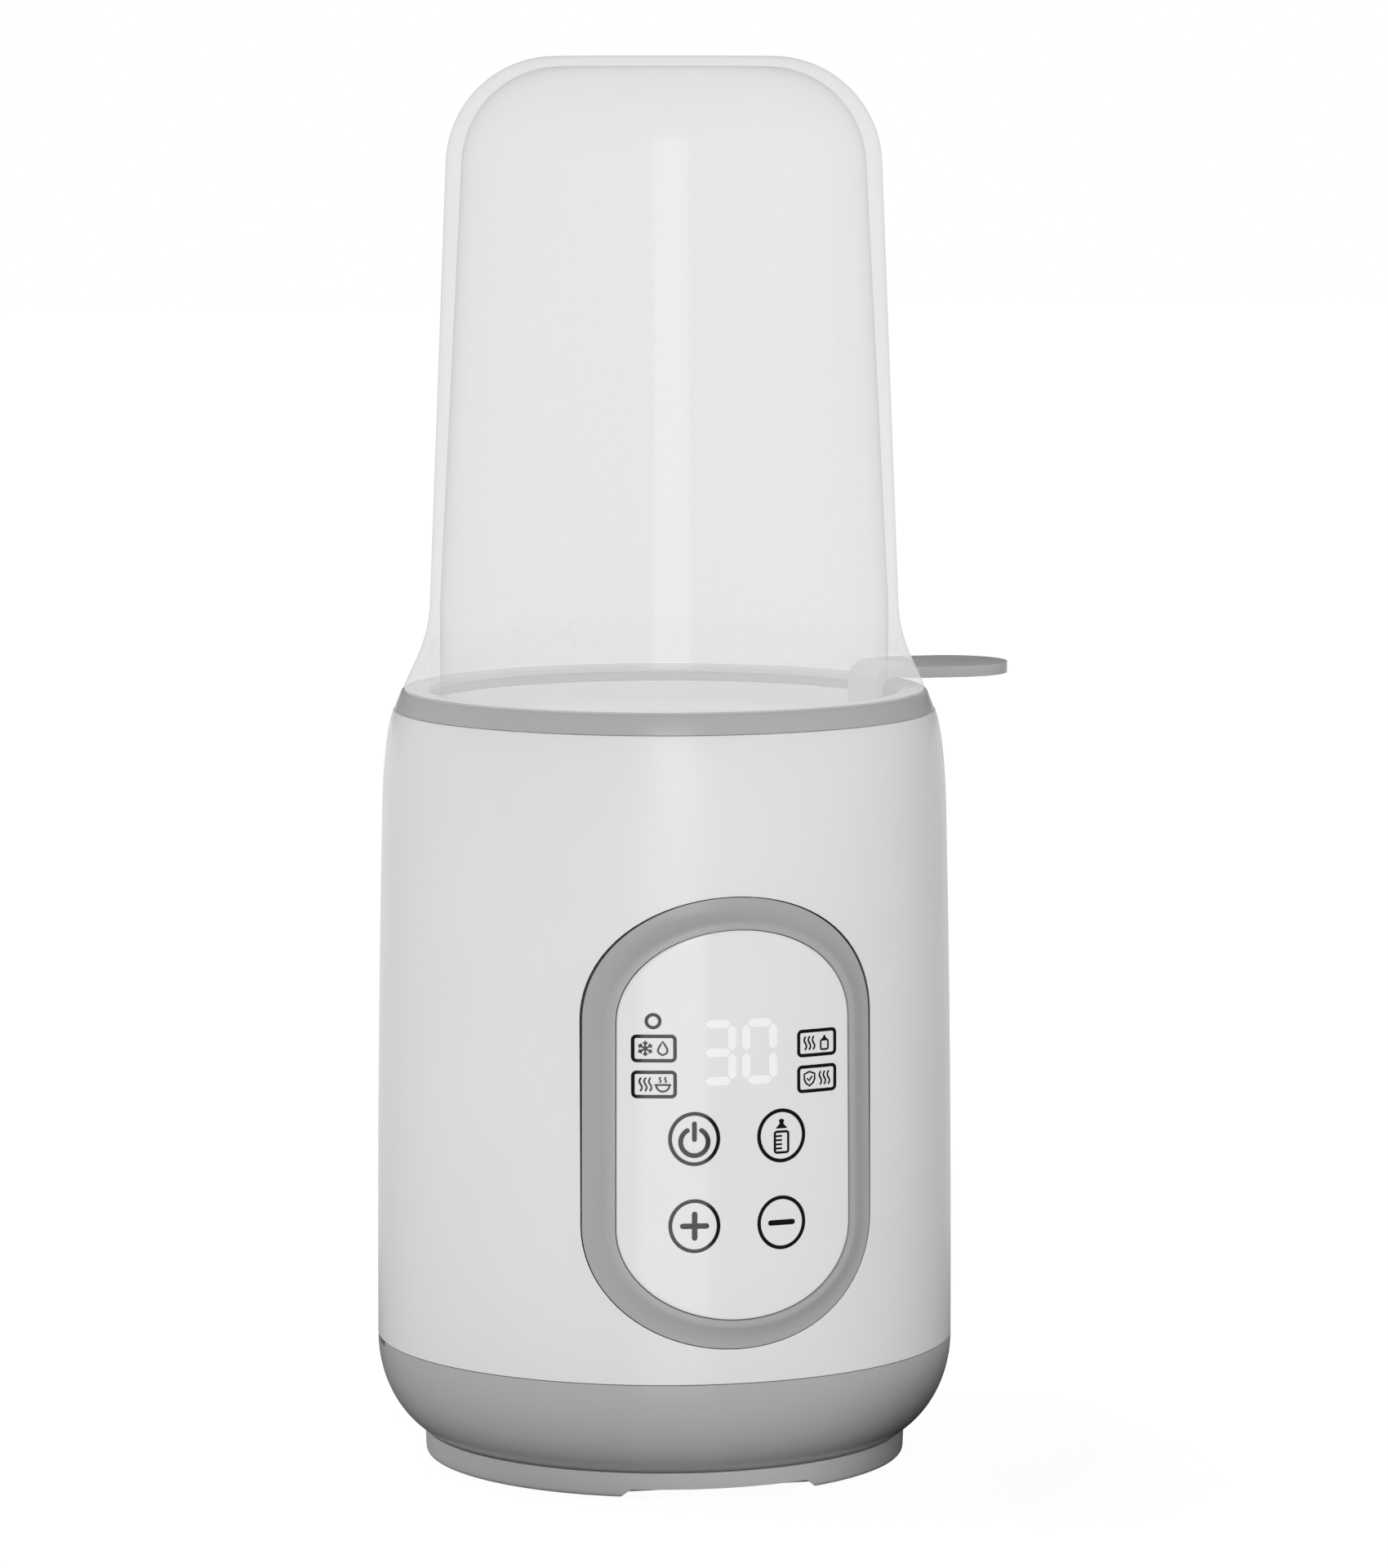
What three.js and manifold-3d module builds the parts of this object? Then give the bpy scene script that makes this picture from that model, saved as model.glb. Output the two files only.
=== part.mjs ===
// A countertop steam sterilizer and warmer for one feeding bottle.
// Millimetres, +Z up. The origin is on the body's axis, in the plane of the base plate's underside.
// The control panel faces -Y and the basket's tab points to +X.
import * as THREE from "three";
import { mergeVertices } from "three/addons/utils/BufferGeometryUtils.js";
import Module from "manifold-3d";

const wasm = await Module();
wasm.setup();

// Driving dimensions.
const ROUND = 36; // facets round the large shells
const WALL = 2.2; // wall of the outer shells
const GAP = 0.3; // running gap between neighbouring pieces
const SEAM_Z = 27.2; // seam between lower shell and housing
const SEAM_R = 62.65; // radius of the body at that seam
const HOUSING_TOP_Z = 163.3;
const BARREL_DROP = 1.37; // how far the housing's side draws in over BARREL_SPAN
const BARREL_SPAN = 112.5;
const SHOULDER_Z = 143; // the rounded shoulder starts here
const SHOULDER_R = 2.7; // radial size of the shoulder's ellipse
const SHOULDER_H = 21; // height of the shoulder's ellipse
const BOWL_R = 17.5; // radial size of the lower shell's ellipse
const BOWL_H = 22.3; // height of the lower shell's ellipse
const FOOT_Z = 7; // seam between base plate and lower shell
const FOOT_R = 52.4;
const PLATE_THICK = 2.6; // floor of the base plate
const COLLAR_TOP_Z = 167.7;
const COLLAR_TOP_R = 56.6;
const MOUTH_R = 51; // radius of the collar's opening
const COVER_Z = 167.9; // lower edge of the cover's skirt
const COVER_TOP_Z = 303.75;
const COVER_CORNER = 23.5; // corner radius of the cover's closed end
const SPIGOT_R = 50.5; // outer radius of the cover's locating spigot
const SPIGOT_Z = 160.2;
const COVER_SIDE_TOP_R = 46.9; // outer radius of the cover where its side meets the rounded end
const COVER_SIDE_FOOT_Z = 185.8; // the skirt flares out below this height
const CHAMBER_FLOOR_Z = 62;
const TAB_Z = 169.7; // underside of the basket's tab
const TAB_THICK = 2.4;
const TAB_HALF = 13; // half the tab's width, and the radius of its round end
const TAB_END = 64; // distance of the round end's centre from the axis
const STEM_R = 47.3; // outer radius of the basket's upright stem
const STEM_THICK = 1.8;
const STEM_HALF = 10.5; // half the stem's width
const PANEL_Z = 81.95; // height of the control area's centre
const BASE_SCREW_R = 43.5; // pitch radius of the four base screws and foot pads
const CLAMP_SCREW_X = 45.5; // distance of the heater clamp's screws from the axis
const BOARD_Z = 14.2; // underside of the power board
const INLET_Z = 43; // height of the power inlet's centre
const PIN_X = 4.2; // distance of each inlet pin from the middle
const CONTROL_Y = -53.5; // back face of the control board
const BEZEL_RISE = 2.6; // height of the bezel's lip over the housing
const PANEL_RISE = 2.3; // height of the control panel's face over the housing
const KEY_X = 9.4; // distance of the keys from the panel's middle

// The two outlines of the bezel: half width as an angle round the housing, half length of the
// straight sides, and half height of the elliptical ends.
const BEZEL_OUTER = { angle: THREE.MathUtils.degToRad(30), straight: 21.8, end: 25.85 };
const BEZEL_INNER = { angle: THREE.MathUtils.degToRad(23), straight: 21.7, end: 19.65 };

// ---------------------------------------------------------------------------------------------
// Solids
// ---------------------------------------------------------------------------------------------

// A geometry as a manifold-3d solid.
function solid(geometry) {
  const bare = geometry.clone();
  bare.deleteAttribute("normal");
  bare.deleteAttribute("uv");
  const merged = mergeVertices(bare, 1e-4);
  const mesh = new wasm.Mesh({
    numProp: 3,
    vertProperties: new Float32Array(merged.attributes.position.array),
    triVerts: new Uint32Array(merged.index.array),
  });
  return new wasm.Manifold(mesh);
}

// A manifold-3d solid as a geometry.
function geometryOf(made) {
  const mesh = made.getMesh();
  const geometry = new THREE.BufferGeometry();
  geometry.setAttribute("position", new THREE.BufferAttribute(mesh.vertProperties, 3));
  geometry.setIndex(new THREE.BufferAttribute(mesh.triVerts, 1));
  return geometry;
}

function join(...geometries) {
  const made = geometries.map(solid).reduce((sum, next) => sum.add(next));
  return geometryOf(made);
}

function cut(body, ...tools) {
  const made = tools.map(solid).reduce((rest, tool) => rest.subtract(tool), solid(body));
  return geometryOf(made);
}

function common(a, b) {
  return geometryOf(solid(a).intersect(solid(b)));
}

// A body of revolution about Z from [radius, height] pairs, given in either direction.
function turned(pairs, segments = ROUND) {
  const points = pairs.map(([r, z]) => new THREE.Vector2(r, z));
  if (THREE.ShapeUtils.area(points) < 0) points.reverse();
  const closed = points[0].x === 0 && points[points.length - 1].x === 0;
  if (!closed) points.push(points[0].clone());
  return new THREE.LatheGeometry(points, segments).rotateX(Math.PI / 2);
}

// [radius, height] pairs along an elliptical arc, angles in degrees from the radial direction.
function arc(r, z, radiusR, radiusZ, from, to, steps) {
  return Array.from({ length: steps + 1 }, (_, i) => {
    const a = THREE.MathUtils.degToRad(from + ((to - from) * i) / steps);
    return [r + radiusR * Math.cos(a), z + radiusZ * Math.sin(a)];
  });
}

function block(width, depth, height) {
  return new THREE.BoxGeometry(width, depth, height);
}

// A cylinder standing on z = 0, with its axis along +Z.
function rod(radius, height, segments = 12, topRadius = radius) {
  const made = new THREE.CylinderGeometry(topRadius, radius, height, segments);
  return made.rotateX(Math.PI / 2).translate(0, 0, height / 2);
}

// A round lead along a smooth curve through the points.
function lead(points, radius = 0.9, steps = 14) {
  const path = new THREE.CatmullRomCurve3(points.map((p) => new THREE.Vector3(...p)));
  const section = new THREE.Shape().absarc(0, 0, radius, 0, 2 * Math.PI);
  const options = { steps, extrudePath: path, curveSegments: 3, bevelEnabled: false };
  return new THREE.ExtrudeGeometry(section, options);
}

// ---------------------------------------------------------------------------------------------
// Shared shapes
// ---------------------------------------------------------------------------------------------

// Directions of the four base screws and foot pads.
const QUARTERS = [45, 135, 225, 315].map((degrees) => THREE.MathUtils.degToRad(degrees));

// Outer radius of the housing at a height: a slight barrel, and an elliptical shoulder on top.
function housingRadius(z) {
  const barrel = SEAM_R - BARREL_DROP * ((z - SEAM_Z) / BARREL_SPAN) ** 2;
  const up = Math.max(0, (z - SHOULDER_Z) / SHOULDER_H);
  return barrel - SHOULDER_R * (1 - Math.sqrt(1 - up * up));
}

// A point of an outline part way from the bezel's outer outline (share 0) to its inner one (1).
function outlinePoint(share, turn) {
  const mix = (key) => THREE.MathUtils.lerp(BEZEL_OUTER[key], BEZEL_INNER[key], share);
  const side = Math.sign(Math.sin(turn));
  return {
    angle: mix("angle") * Math.cos(turn),
    height: PANEL_Z + side * mix("straight") + mix("end") * Math.sin(turn),
  };
}

// A prism along Y with such an outline, in front of the axis.
function outlinePrism(share, segments) {
  const shape = new THREE.Shape(
    Array.from({ length: segments }, (_, i) => {
      const at = outlinePoint(share, ((i + 0.5) / segments) * 2 * Math.PI);
      return new THREE.Vector2(SEAM_R * Math.sin(at.angle), at.height);
    }),
  );
  const made = new THREE.ExtrudeGeometry(shape, { depth: 40, bevelEnabled: false });
  return made.rotateX(Math.PI / 2).translate(0, -40, 0);
}

// A self-tapping screw, head down: the head's outer face is at z = 0 and the shank points up.
function screw(headRadius, shankRadius, length) {
  const headHeight = headRadius * 0.6;
  const head = rod(headRadius, headHeight, 12);
  const shank = rod(shankRadius, length, 8).translate(0, 0, headHeight * 0.9);
  return join(head, shank);
}

// ---------------------------------------------------------------------------------------------
// Outer shells
// ---------------------------------------------------------------------------------------------

function housing() {
  const heights = [SEAM_Z, 85, 120, SHOULDER_Z, 154, 160, HOUSING_TOP_Z];
  const outer = heights.map((z) => [housingRadius(z), z]);
  const inner = heights.map((z) => [housingRadius(z) - WALL, z]).reverse();
  const shell = turned([...outer, ...inner]);
  const inletOpening = block(22.6, 20, 12.6).translate(0, 60, INLET_Z);
  return cut(shell, outlinePrism(0.5, 40), inletOpening);
}

function lowerShell() {
  const centreR = SEAM_R - BOWL_R;
  const lastAngle = THREE.MathUtils.radToDeg(Math.asin((SEAM_Z - GAP - FOOT_Z) / BOWL_H));
  const top = SEAM_Z - GAP;
  const lipRoot = 3; // the register lip inside the housing grows out of the wall this far down
  const rootAngle = THREE.MathUtils.radToDeg(Math.asin(lipRoot / (BOWL_H - WALL)));
  const shell = turned([
    ...arc(centreR, top, BOWL_R, BOWL_H, 0, -lastAngle, 6),
    [47.5, FOOT_Z + GAP],
    [47.5, FOOT_Z + GAP + WALL],
    ...arc(centreR, top, BOWL_R - WALL, BOWL_H - WALL, -lastAngle, -rootAngle, 4).slice(1),
    [58.4, top - lipRoot],
    [58.4, top + 4],
    [60, top + 4],
    [60, top],
  ]);
  const bosses = QUARTERS.flatMap((a) => {
    const boss = rod(3.4, 15).translate(BASE_SCREW_R, 0, 6);
    const rib = block(12, 1.8, 8).translate(BASE_SCREW_R + 7, 0, 15);
    return [boss.rotateZ(a), rib.rotateZ(a)];
  });
  const pilots = QUARTERS.map((a) => rod(1.5, 12).translate(BASE_SCREW_R, 0, 5).rotateZ(a));
  // Two narrow air slots in the top edge, one on each side, running from the side to the back.
  const slots = [7.5, 172.5].map((degrees) => {
    const slot = block(10, 16, 1.2).translate(SEAM_R - 2, 0, top - 0.4);
    return slot.rotateZ(THREE.MathUtils.degToRad(degrees));
  });
  return cut(join(shell, ...bosses), ...pilots, ...slots);
}

function bottomCover() {
  const corner = 1.8;
  const plate = turned([
    [0, 0],
    ...arc(FOOT_R - 0.4 - corner, corner, corner, corner, -90, 0, 3),
    [FOOT_R, FOOT_Z],
    [47, FOOT_Z],
    [47, 8.2],
    [45.4, 8.2],
    [45.4, PLATE_THICK],
    [0, PLATE_THICK],
  ]);
  const posts = boardCorners().map(([x, y]) => rod(3, BOARD_Z - 2.2).translate(x, y, 2));
  const collars = QUARTERS.map((a) => {
    return rod(5.4, 3).translate(BASE_SCREW_R - 4, 0, 2.2).rotateZ(a);
  });
  const bores = QUARTERS.flatMap((a) => {
    const pad = rod(5.6, 2.2, 16).translate(BASE_SCREW_R, 0, -1);
    const head = rod(3.4, 4).translate(BASE_SCREW_R, 0, -0.5);
    const shank = rod(1.9, 12).translate(BASE_SCREW_R, 0, -1);
    return [pad.rotateZ(a), head.rotateZ(a), shank.rotateZ(a)];
  });
  const postHoles = boardCorners().map(([x, y]) => rod(1, 8).translate(x, y, BOARD_Z - 7));
  // Shallow recesses under the front and back edges, with sloping ends.
  const recesses = [-1, 1].map((side) => {
    const outline = new THREE.Shape([
      new THREE.Vector2(-23.4, -1),
      new THREE.Vector2(23.4, -1),
      new THREE.Vector2(20.7, 1.9),
      new THREE.Vector2(-20.7, 1.9),
    ]);
    const made = new THREE.ExtrudeGeometry(outline, { depth: 20, bevelEnabled: false });
    return made.rotateX(Math.PI / 2).translate(0, side * 51 + 10, 0);
  });
  const clearOfBosses = QUARTERS.map((a) => {
    return rod(3.8, 10).translate(BASE_SCREW_R, 0, 5.6).rotateZ(a);
  });
  return cut(
    join(plate, ...posts, ...collars),
    ...bores,
    ...postHoles,
    ...recesses,
    ...clearOfBosses,
  );
}

function collar() {
  return turned([
    [58.4, HOUSING_TOP_Z + GAP],
    [COLLAR_TOP_R + 0.2, COLLAR_TOP_Z - 0.4],
    [COLLAR_TOP_R - 0.4, COLLAR_TOP_Z],
    [MOUTH_R, COLLAR_TOP_Z],
    [MOUTH_R, COLLAR_TOP_Z - 1.4],
    [54.9, COLLAR_TOP_Z - 1.4],
    [54.9, 157.5],
    [55.9, 157.5],
    [55.9, HOUSING_TOP_Z + GAP],
  ]);
}

// The oval ring round the control panel. Its profile is [share across the ring, height over the
// housing], and each vertex of a turned ring is carried to that place on the housing.
function panelBezel() {
  const profile = [
    [0, GAP],
    [0, 0.7],
    [0.35, 1],
    [0.55, 1.8],
    [0.7, BEZEL_RISE],
    [1, BEZEL_RISE],
    [1, -2.6],
    [0.6, -2.6],
    [0.6, GAP],
  ];
  const centre = 10;
  const points = profile.map(([share, height]) => new THREE.Vector2(centre - share, height));
  points.push(points[0].clone());
  const segments = 48;
  const halfStep = Math.PI / segments;
  const ring = new THREE.LatheGeometry(points, segments, halfStep);
  const position = ring.attributes.position;
  for (let i = 0; i < position.count; i += 1) {
    const x = position.getX(i);
    const z = position.getZ(i);
    const share = centre - Math.hypot(x, z);
    const at = outlinePoint(share, Math.atan2(-z, x));
    const r = housingRadius(at.height) + position.getY(i);
    position.setXYZ(i, r * Math.sin(at.angle), -r * Math.cos(at.angle), at.height);
  }
  const made = solid(ring);
  return made.volume() < 0 ? ring.scale(-1, 1, 1) : ring;
}

function controlPanel() {
  const heights = [30, 75, 105, 135];
  const plate = turned([
    ...heights.map((z) => [housingRadius(z) + PANEL_RISE, z]),
    ...heights.map((z) => [housingRadius(z) + GAP, z]).reverse(),
  ]);
  return common(plate, outlinePrism(1.06, 40));
}

// ---------------------------------------------------------------------------------------------
// Cover and basket
// ---------------------------------------------------------------------------------------------

function cover() {
  const cornerZ = COVER_TOP_Z - COVER_CORNER;
  const cornerR = COVER_SIDE_TOP_R - COVER_CORNER;
  const flare = new THREE.CubicBezierCurve(
    new THREE.Vector2(50.7, COVER_SIDE_FOOT_Z),
    new THREE.Vector2(51.1, 177.5),
    new THREE.Vector2(55, 172),
    new THREE.Vector2(56.4, COVER_Z),
  );
  const flareInside = new THREE.QuadraticBezierCurve(
    new THREE.Vector2(54.5, COVER_Z),
    new THREE.Vector2(52.6, 172.8),
    new THREE.Vector2(SPIGOT_R, 177.5),
  );
  const cup = turned([
    [0, COVER_TOP_Z],
    ...arc(cornerR, cornerZ, COVER_CORNER, COVER_CORNER, 90, 0, 5),
    ...flare.getPoints(4).map((p) => p.toArray()),
    ...flareInside.getPoints(2).map((p) => p.toArray()),
    [SPIGOT_R, SPIGOT_Z],
    [SPIGOT_R - 2, SPIGOT_Z],
    [SPIGOT_R - 2, COVER_SIDE_FOOT_Z],
    ...arc(cornerR, cornerZ, COVER_CORNER - WALL, COVER_CORNER - WALL, 0, 90, 4),
    [0, COVER_TOP_Z - WALL],
  ]);
  const notchTop = TAB_Z + TAB_THICK + 1;
  const notch = block(30, 2 * TAB_HALF + 2, 30).translate(57, 0, notchTop - 15);
  return cut(cup, notch);
}

function basket() {
  const topZ = TAB_Z + TAB_THICK;
  const stemInner = STEM_R - STEM_THICK;
  const hookRing = turned([
    [stemInner, CHAMBER_FLOOR_Z + 3],
    [STEM_R, CHAMBER_FLOOR_Z + 3],
    ...arc(STEM_R + 2.5, TAB_Z - 2.5, 2.5, 2.5, 180, 90, 4),
    [TAB_END + TAB_HALF, TAB_Z],
    [TAB_END + TAB_HALF, topZ],
    ...arc(stemInner + 4.5, topZ - 4.5, 4.5, 4.5, 90, 180, 4),
  ]);
  // Seen from above, the hook is as wide as the stem, and widens into the tab outside the bend.
  const bendX = STEM_R + 1.2;
  const wideX = bendX + 6;
  const middleX = (bendX + wideX) / 2;
  const plan = new THREE.Shape();
  plan.moveTo(30, -STEM_HALF);
  plan.lineTo(bendX, -STEM_HALF);
  plan.bezierCurveTo(middleX, -STEM_HALF, middleX, -TAB_HALF, wideX, -TAB_HALF);
  plan.lineTo(TAB_END, -TAB_HALF);
  plan.absarc(TAB_END, 0, TAB_HALF, -Math.PI / 2, Math.PI / 2);
  plan.lineTo(wideX, TAB_HALF);
  plan.bezierCurveTo(middleX, TAB_HALF, middleX, STEM_HALF, bendX, STEM_HALF);
  plan.lineTo(30, STEM_HALF);
  const options = { depth: 200, bevelEnabled: false, curveSegments: 10 };
  const hook = common(hookRing, new THREE.ExtrudeGeometry(plan, options));
  const trayTop = CHAMBER_FLOOR_Z + 5;
  const tray = turned(
    [
      [0, trayTop],
      [42.2, trayTop],
      [42.2, trayTop + 6],
      [44, trayTop + 6],
      [44, CHAMBER_FLOOR_Z + 0.2],
      [42, CHAMBER_FLOOR_Z + 0.2],
      [42, trayTop - 2],
      [0, trayTop - 2],
    ],
    36,
  );
  const foot = block(5, 2 * STEM_HALF, 4).translate(44.6, 0, trayTop + 0.5);
  const root = common(foot, rod(STEM_R - 0.1, 120, ROUND));
  const holes = Array.from({ length: 6 }, (_, i) => {
    const a = (i * Math.PI) / 3;
    return rod(6, 10, 12).translate(26 * Math.cos(a), 26 * Math.sin(a), trayTop - 6);
  });
  const centreHole = rod(8, 10, 16).translate(0, 0, trayTop - 6);
  return cut(join(hook, tray, root), ...holes, centreHole);
}

// ---------------------------------------------------------------------------------------------
// Chamber and heater
// ---------------------------------------------------------------------------------------------

function chamber() {
  const pot = turned([
    [50.9, 164.2],
    [50.9, 158.8],
    [49.2, 158.2],
    [48.2, 65],
    [46.5, CHAMBER_FLOOR_Z],
    [38.5, CHAMBER_FLOOR_Z],
    [38.5, 60],
    [50.2, 60],
    [51.2, 156],
    [52.9, 158.5],
    [52.9, 162.2],
    [54.6, 162.2],
    [54.6, 164.2],
  ]);
  const bosses = [-1, 1].map((side) => rod(3.6, 12).translate(side * CLAMP_SCREW_X, 0, 48.5));
  const pilots = [-1, 1].map((side) => rod(1.5, 9).translate(side * CLAMP_SCREW_X, 0, 47.5));
  return cut(join(pot, ...bosses), ...pilots);
}

function chamberSeal() {
  return turned([
    [52, 164.4],
    [54.4, 164.4],
    [54.4, 166],
    [52, 166],
  ]);
}

function heatingPlate() {
  return turned([
    [0, 60.6],
    [37.2, 60.6],
    [37.8, 60],
    [37.8, 58.6],
    [41.6, 58.6],
    [41.6, 57.4],
    [0, 57.4],
  ]);
}

function heaterGasket() {
  return turned([
    [38.2, 58.8],
    [41.4, 58.8],
    [41.4, 59.8],
    [38.2, 59.8],
  ]);
}

function heaterClamp() {
  const bar = block(98, 12, 1.2).translate(0, 0, 47.4);
  const middle = block(56, 16, 1.2).translate(0, 0, 47.4);
  const holes = [-1, 1].map((side) => rod(1.9, 4, 12).translate(side * CLAMP_SCREW_X, 0, 45.5));
  return cut(join(bar, middle), ...holes);
}

// ---------------------------------------------------------------------------------------------
// Electrics
// ---------------------------------------------------------------------------------------------

// The power board's four fixing points, as [x, y].
function boardCorners() {
  return [
    [34, 20],
    [-34, 20],
    [-34, -20],
    [34, -20],
  ];
}

function powerBoard() {
  const board = block(76, 48, 1.6).translate(0, 0, BOARD_Z + 0.8);
  const holes = boardCorners().map(([x, y]) => rod(1.6, 6, 12).translate(x, y, BOARD_Z - 2));
  return cut(board, ...holes);
}

function controlBoard() {
  const board = block(42, 1.2, 72).translate(0, CONTROL_Y - 0.6, 83);
  const holes = [50, 116].map((z) => {
    const hole = rod(1.4, 6, 12).rotateX(Math.PI / 2);
    return hole.translate(16, CONTROL_Y + 2, z);
  });
  return cut(board, ...holes);
}

function displayModule() {
  const body = block(19, 6.2, 16.4).translate(0.85, CONTROL_Y - 4.6, 97.4);
  const window = block(16.6, 2, 14.6).translate(0.85, CONTROL_Y - 8, 97.4);
  return cut(body, window);
}

function powerInlet() {
  const body = block(22, 17.2, 12).translate(0, 52.6, INLET_Z);
  const well = [-1, 1].map((side) => {
    const lobe = rod(4.2, 14, 20).rotateX(-Math.PI / 2);
    return lobe.translate(side * PIN_X, 49, INLET_Z);
  });
  const waist = block(2 * PIN_X, 14, 6).translate(0, 56, INLET_Z);
  const pinHoles = [-1, 1].map((side) => {
    const hole = rod(1.5, 8, 12).rotateX(-Math.PI / 2);
    return hole.translate(side * PIN_X, 42, INLET_Z);
  });
  return cut(body, ...well, waist, ...pinHoles);
}

function ribbonCable() {
  const width = 10;
  const half = 0.4;
  const path = new THREE.CatmullRomCurve3([
    new THREE.Vector3(-8, -52.6, 50),
    new THREE.Vector3(-8, -50, 42),
    new THREE.Vector3(-8, -38, 34),
    new THREE.Vector3(-8, -22, 25),
    new THREE.Vector3(-8, -19, 17.6),
  ]);
  const section = new THREE.Shape([
    new THREE.Vector2(-width / 2, -half),
    new THREE.Vector2(width / 2, -half),
    new THREE.Vector2(width / 2, half),
    new THREE.Vector2(-width / 2, half),
  ]);
  const options = { steps: 12, extrudePath: path, bevelEnabled: false };
  return new THREE.ExtrudeGeometry(section, options);
}

// ---------------------------------------------------------------------------------------------
// Assembly
// ---------------------------------------------------------------------------------------------

function surface(color, roughness, metalness = 0) {
  return new THREE.MeshStandardMaterial({ color, roughness, metalness });
}

const white = surface(0xf1f1f0, 0.28);
const panelWhite = surface(0xf6f6f6, 0.12);
const grey = surface(0x9c9c9c, 0.34);
const lightGrey = surface(0xacacac, 0.36);
const potGrey = surface(0xdededd, 0.4);
const clear = surface(0xf4f7f8, 0.06);
const rubber = surface(0x8a8a8a, 0.75);
const dark = surface(0x222222, 0.5);
const boardGreen = surface(0x2f6b46, 0.55);
const steel = surface(0xb9bbbd, 0.32, 1);
const aluminium = surface(0xc9cbcc, 0.4, 1);
const brass = surface(0xb8a060, 0.3, 1);
const leadRed = surface(0xb03a32, 0.5);
const leadBlue = surface(0x35558f, 0.5);
clear.transparent = true;
clear.opacity = 0.35;

const sterilizer = new THREE.Group();
sterilizer.name = "bottle_sterilizer";

function add(name, geometry, material, x = 0, y = 0, z = 0) {
  const mesh = new THREE.Mesh(geometry, material);
  mesh.name = name;
  mesh.position.set(x, y, z);
  sterilizer.add(mesh);
  return mesh;
}

add("housing", housing(), white);
add("lower_shell", lowerShell(), grey);
add("bottom_cover", bottomCover(), lightGrey);
add("collar", collar(), grey);
add("panel_bezel", panelBezel(), grey);
add("control_panel", controlPanel(), panelWhite);
add("cover", cover(), clear);
add("basket", basket(), grey);

add("chamber", chamber(), potGrey);
add("chamber_seal", chamberSeal(), rubber);
add("heating_plate", heatingPlate(), aluminium);
add("heater_gasket", heaterGasket(), rubber);
add("ptc_heater", block(52, 14, 8.6), aluminium, 0, 0, 52.8);
add("heater_clamp", heaterClamp(), steel);
add("thermostat", rod(7.5, 5, 20), steel, 0, 22, 52);
add("thermal_fuse", rod(2, 12, 12).rotateY(Math.PI / 2), steel, -6, -20, 54.8);
add("temperature_sensor", rod(3, 4.6, 12), brass, 22, 20, 52.4);
[-1, 1].forEach((side, i) => {
  add("clamp_screw_" + (i + 1), screw(3, 1.2, 9), steel, side * CLAMP_SCREW_X, 0, 44.7);
});

add("power_board", powerBoard(), boardGreen);
add("transformer", block(20, 17, 15), dark, -20, 6, 23.7);
add("relay", block(16, 11, 13), dark, 22, -6, 22.7);
add("capacitor", rod(5, 16, 16), dark, 2, 12, 16.1);
[0, 2].forEach((corner, i) => {
  const [x, y] = boardCorners()[corner];
  const fixing = add("board_screw_" + (i + 1), screw(2.4, 0.8, 4.4), steel, x, y, 17.8);
  fixing.rotation.x = Math.PI;
});

add("control_board", controlBoard(), boardGreen);
add("display_module", displayModule(), dark);
[50, 116].forEach((z, i) => {
  const fixing = add("control_screw_" + (i + 1), screw(2.2, 1, 2.4), steel, 16, CONTROL_Y - 2.8, z);
  fixing.rotation.x = -Math.PI / 2;
});
[-1, 1].forEach((side) => {
  ["upper", "lower"].forEach((row) => {
    const name = "key_contact_" + row + (side < 0 ? "_left" : "_right");
    const z = row === "upper" ? 79.7 : 61.3;
    const contact = add(name, rod(3, 6, 12), rubber, side * KEY_X, CONTROL_Y - 1.5, z);
    contact.rotation.x = Math.PI / 2;
  });
});
const lightGuide = add("light_guide", rod(1.5, 4, 10), clear, -17.75, CONTROL_Y - 1.5, 104.5);
lightGuide.rotation.x = Math.PI / 2;
const buzzer = add("buzzer", rod(4.6, 4, 16), dark, 0, CONTROL_Y - 1.5, 50.5);
buzzer.rotation.x = Math.PI / 2;

add("power_inlet", powerInlet(), dark);
[-1, 1].forEach((side, i) => {
  const pin = add("inlet_pin_" + (i + 1), rod(1.2, 14, 10, 0.9), brass, side * PIN_X, 43.4, INLET_Z);
  pin.rotation.x = -Math.PI / 2;
  const bend = [side * PIN_X, 37, 40];
  const ends = [side * PIN_X, 42.8, INLET_Z];
  const foot = [side * PIN_X + 14, 22, 24];
  const name = "inlet_lead_" + (i + 1);
  add(name, lead([ends, bend, foot, [foot[0], 20, 16.4]]), i ? leadRed : leadBlue);
  const top = [side * 12, -7.6, 52];
  const heaterLead = [top, [side * 12, -13, 46], [side * 14, -16, 30], [side * 10, -15, 16.4]];
  add("heater_lead_" + (i + 1), lead(heaterLead), i ? leadRed : leadBlue);
});
add("ribbon_cable", ribbonCable(), surface(0xc9c9c4, 0.6));

QUARTERS.forEach((a, i) => {
  const x = BASE_SCREW_R * Math.cos(a);
  const y = BASE_SCREW_R * Math.sin(a);
  add("base_screw_" + (i + 1), screw(3, 1.2, 10), steel, x, y, 1.5);
  add("foot_pad_" + (i + 1), rod(5.2, 1.4, 16), rubber, x, y, -0.4);
});

export default sterilizer;
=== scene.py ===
"""The looks of a single-bottle steam sterilizer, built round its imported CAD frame.

Shapes are written in millimetres and turned into metres when a mesh is made. The body's axis is Z,
the control panel faces -Y and the basket's tab points to +X.
"""

import math

import bmesh
import bpy
from mathutils import Matrix, Vector


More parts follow.
